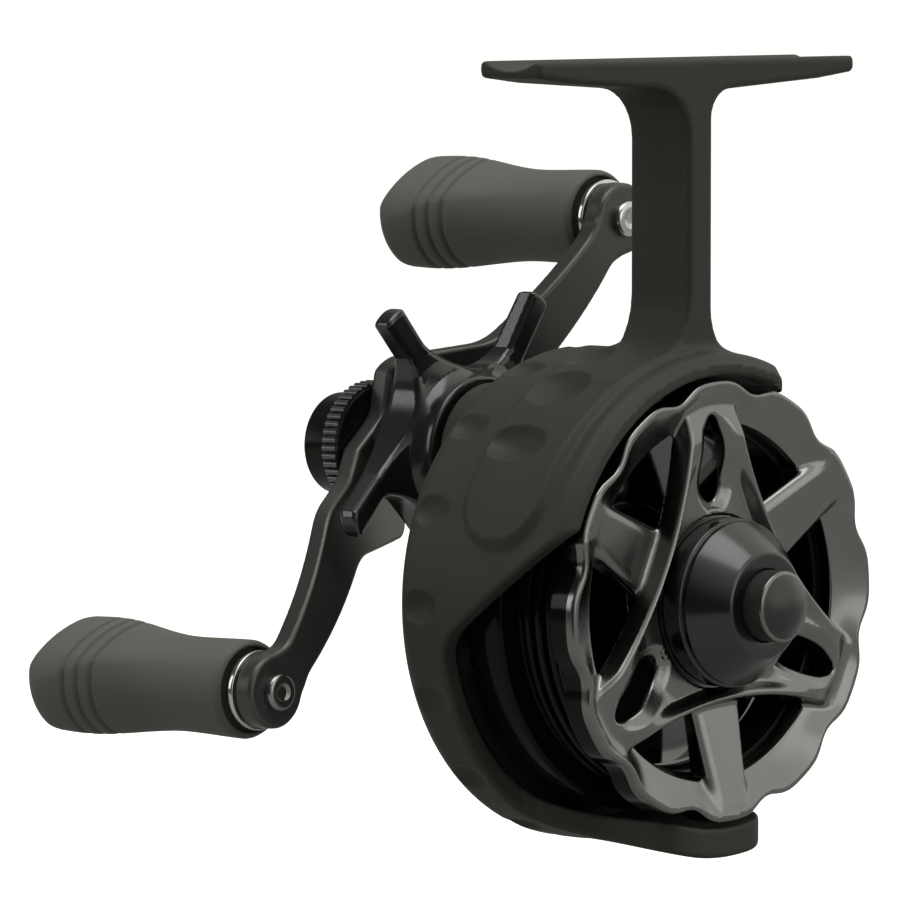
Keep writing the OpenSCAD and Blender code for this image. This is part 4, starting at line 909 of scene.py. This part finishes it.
def grip_shape(centre_y, centre_z, turn):
    """The field of a grip that widens into a flat paddle, turned round its spindle."""
    def field(x, y, z):
        s = x - FACE_X
        dy, dz = y - centre_y, z - centre_z
        p, q = turned_to(turn, dy, dz)
        t = (GRIP_X - s) / GRIP_BODY
        half = GRIP_R - 0.2 * step_up(t, 0, 0.35) + 2.1 * step_up(t, 0.35, 1.0)
        thick = GRIP_R - 0.5 * step_up(t, 0, 0.35) + 0.7 * step_up(t, 0.4, 0.95)
        r = np.hypot(p, q)
        crease = 0.4 + 1.1 * step_up(t, 0.75, 1.1)
        side = common(r - half, np.hypot(p, np.abs(q) + PADDLE_SET) - PADDLE_SET - thick, crease)
        body = common(side, GRIP_END - s, 3.6)
        body = common(body, s - GRIP_X, 1.0)
        for groove in GRIP_GROOVES:
            body = body + GROOVE_DEPTH * np.exp(-((s - groove) / GROOVE_WIDTH) ** 2)
        body = cut(body, np.maximum(r - COLLAR_SEAT_R, GRIP_X - COLLAR_SEAT - s), 0.3)
        return np.maximum(body, -np.maximum(r - SPINDLE_HOLE_R, SPINDLE_HOLE_END - s))

    return field


COLLAR = [[-37.8, 1.94, 0], [-37.8, 4.75, 0.15], [-38.75, 4.75, 0.25], [-38.75, 1.94, 0]]
SPINDLE_END, HEAD_X = -66.5, -34.15
SPINDLE = [[SPINDLE_END, 1.9, 0.3], [-35.0, 1.9, 0], [-35.0, 2.2, 0], [-33.9, 2.2, 0.5],
           [-33.9, 1.1, 0.3], [HEAD_X, 0.8, 0.3], [HEAD_X, 0.4, 0]]
GRIPS = {"upper_grip": (1, math.radians(29)), "lower_grip": (-1, math.radians(25))}
for node, (side, turn) in GRIPS.items():
    cy = HANDLE_Y + side * CRANK * math.cos(ARM_ANGLE)
    cz = HANDLE_Z + side * CRANK * math.sin(ARM_ANGLE)
    collar_node, spindle_node = node.replace("grip", "collar"), node.replace("grip", "spindle")
    grip = moulded(node + "_rubber", grip_shape(cy, cz, turn),
                   (-66.1, cy - GRIP_ROOM, cz - GRIP_ROOM),
                   (-32.4, cy + GRIP_ROOM, cz + GRIP_ROOM), 0.22)
    grip.data.materials.append(GRIP_RUBBER)
    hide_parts(node)
    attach(grip, node)
    collar = turned(collar_node + "_turned", rounded(COLLAR, 4), cy, cz, 72)
    collar.data.materials.append(BRIGHT_STEEL)
    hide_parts(collar_node)
    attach(collar, "handle")
    spindle = turned(spindle_node + "_turned",
                     rounded(SPINDLE, 5) + [(HEAD_X, 0.0), (SPINDLE_END, 0.0)], cy, cz, 48)
    # The upper spindle is bright steel; the lower one gets the darker steel as painted shade.
    spindle.data.materials.append(BRIGHT_STEEL if side > 0 else LOWER_SPINDLE_PAINTED_SHADE)
    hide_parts(spindle_node)
    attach(spindle, "handle")


# Pieces that keep their own shape

KEPT = {
    PLATE_BLACK: ["gear_plate", "handle_spacer"],
    TURNED_STEEL: ["plate_screws", "one_way_clutch", "idler_pin", "spool_shaft", "drive_hub",
                   "spool_latch", "handle_shaft", "pressure_plate", "clutch_sleeve", "drag_spring"],
    BRIGHT_STEEL: ["rear_bearing", "front_bearing", "handle_bearing"],
    CUT_BRASS: ["shaft_bush", "idler_gear", "pinion_gear", "drive_gear"],
    DRAG_FIBRE: ["inner_drag_washer", "outer_drag_washer"],
}
for finish, names in KEPT.items():
    for name in names:
        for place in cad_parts[name].material_slots:
            place.material = finish


# Camera, floor and light

eye = bpy.data.cameras.new("photo_view")
eye.lens = 315.8
eye.sensor_width = 36.0
eye.clip_start, eye.clip_end = 0.05, 20
camera = bpy.data.objects.new("photo_view", eye)
bpy.context.scene.collection.objects.link(camera)
right, up = Vector((0.7218, 0.6921, 0)), Vector((-0.0483, 0.0504, 0.9976))
back, standpoint = Vector((0.6905, -0.7200, 0.0698)), Vector((0.6351, -0.6998, 0.0190))
camera.matrix_world = Matrix((
    (right.x, up.x, back.x, standpoint.x), (right.y, up.y, back.y, standpoint.y),
    (right.z, up.z, back.z, standpoint.z), (0, 0, 0, 1)))
bpy.context.scene.camera = camera
bpy.context.scene.view_settings.view_transform = "Standard"


def plain_floor():
    """A matt floor, white to the eye and darker in what it throws back."""
    height, front, far, half = -0.112, 0.22, -12.0, 12.0
    ahead, aside = Vector((0.3015, -0.9535, 0)), Vector((0.9535, 0.3015, 0))
    corners = ((front, -half), (front, half), (far, half), (far, -half))
    mesh = bpy.data.meshes.new("floor")
    mesh.from_pydata([tuple(ahead * a + aside * b + Vector((0, 0, height))) for a, b in corners],
                     [], [(0, 1, 2, 3)])
    floor = new_piece("floor", mesh)
    material = bpy.data.materials.new("pale_floor")
    material.use_nodes = True
    tree = material.node_tree
    shader = tree.nodes["Principled BSDF"]
    shader.inputs["Roughness"].default_value = 0.95
    shader.inputs["Specular IOR Level"].default_value = 0.0
    path = tree.nodes.new("ShaderNodeLightPath")
    tree.links.new(mixed(tree, path.outputs["Is Camera Ray"], (0.3, 0.3, 0.3, 1), (1, 1, 1, 1)),
                   shader.inputs["Base Color"])
    mesh.materials.append(material)
    return floor


plain_floor()


def studio_light():
    """White to the eye, a room with a dark side to what mirrors it, and soft light from above."""
    white, warm_white = (1, 1, 1, 1), (1, 1, 0.93, 1)
    world = bpy.data.worlds.new("studio")
    bpy.context.scene.world = world
    world.use_nodes = True
    tree = world.node_tree
    tree.nodes.clear()
    link = tree.links.new
    out = tree.nodes.new("ShaderNodeOutputWorld")
    path = tree.nodes.new("ShaderNodeLightPath")
    direction = tree.nodes.new("ShaderNodeTexCoord").outputs["Generated"]

    def towards(aim):
        side = tree.nodes.new("ShaderNodeVectorMath")
        side.operation = "DOT_PRODUCT"
        link(direction, side.inputs[0])
        side.inputs[1].default_value = aim
        return side.outputs["Value"]

    height = towards((0.0, 0.0, 1.0))
    mirror_level = spread(tree, towards((0.62, 0.55, 0.56)), 0.0, 0.75, 0.05, 1.0)
    shaded_side = spread(tree, towards((0.93, -0.35, 0.0)), -0.2, 0.9, 1.0, 0.25)
    sky_level = maths(tree, "MULTIPLY", shaded_side, spread(tree, height, -0.2, 1.0, 0.2, 1.8))
    seen = tree.nodes.new("ShaderNodeBackground")
    mirrored = tree.nodes.new("ShaderNodeBackground")
    link(mirror_level, mirrored.inputs["Strength"])
    sky = tree.nodes.new("ShaderNodeBackground")
    link(sky_level, sky.inputs["Strength"])
    for node, colour in ((seen, white), (mirrored, warm_white), (sky, warm_white)):
        node.inputs["Color"].default_value = colour
    glossy = maths(tree, "ADD", path.outputs["Is Glossy Ray"],
                   path.outputs["Is Transmission Ray"], True)
    first = tree.nodes.new("ShaderNodeMixShader")
    link(glossy, first.inputs[0])
    link(sky.outputs[0], first.inputs[1])
    link(mirrored.outputs[0], first.inputs[2])
    second = tree.nodes.new("ShaderNodeMixShader")
    link(path.outputs["Is Camera Ray"], second.inputs[0])
    link(first.outputs[0], second.inputs[1])
    link(seen.outputs[0], second.inputs[2])
    link(second.outputs[0], out.inputs["Surface"])


studio_light()


BOX_AIM = (0, 0, -0.05)


def soft_box(name, place, width, height, power):
    """A rectangular lamp at that place that looks at the reel."""
    lamp = bpy.data.lights.new(name, "AREA")
    lamp.shape = "RECTANGLE"
    lamp.size, lamp.size_y = width, height
    lamp.energy = power
    box = bpy.data.objects.new(name, lamp)
    bpy.context.scene.collection.objects.link(box)
    box.location = place
    box.rotation_euler = (Vector(BOX_AIM) - Vector(place)).to_track_quat("-Z", "Y").to_euler()


soft_box("top_box", (0.1, -0.15, 0.8), 0.9, 0.6, 4)
soft_box("right_box", (1.1, 0.1, 0.22), 0.9, 0.6, 0.85)
soft_box("left_box", (-0.9, -0.9, 0.3), 0.25, 0.6, 1.1)
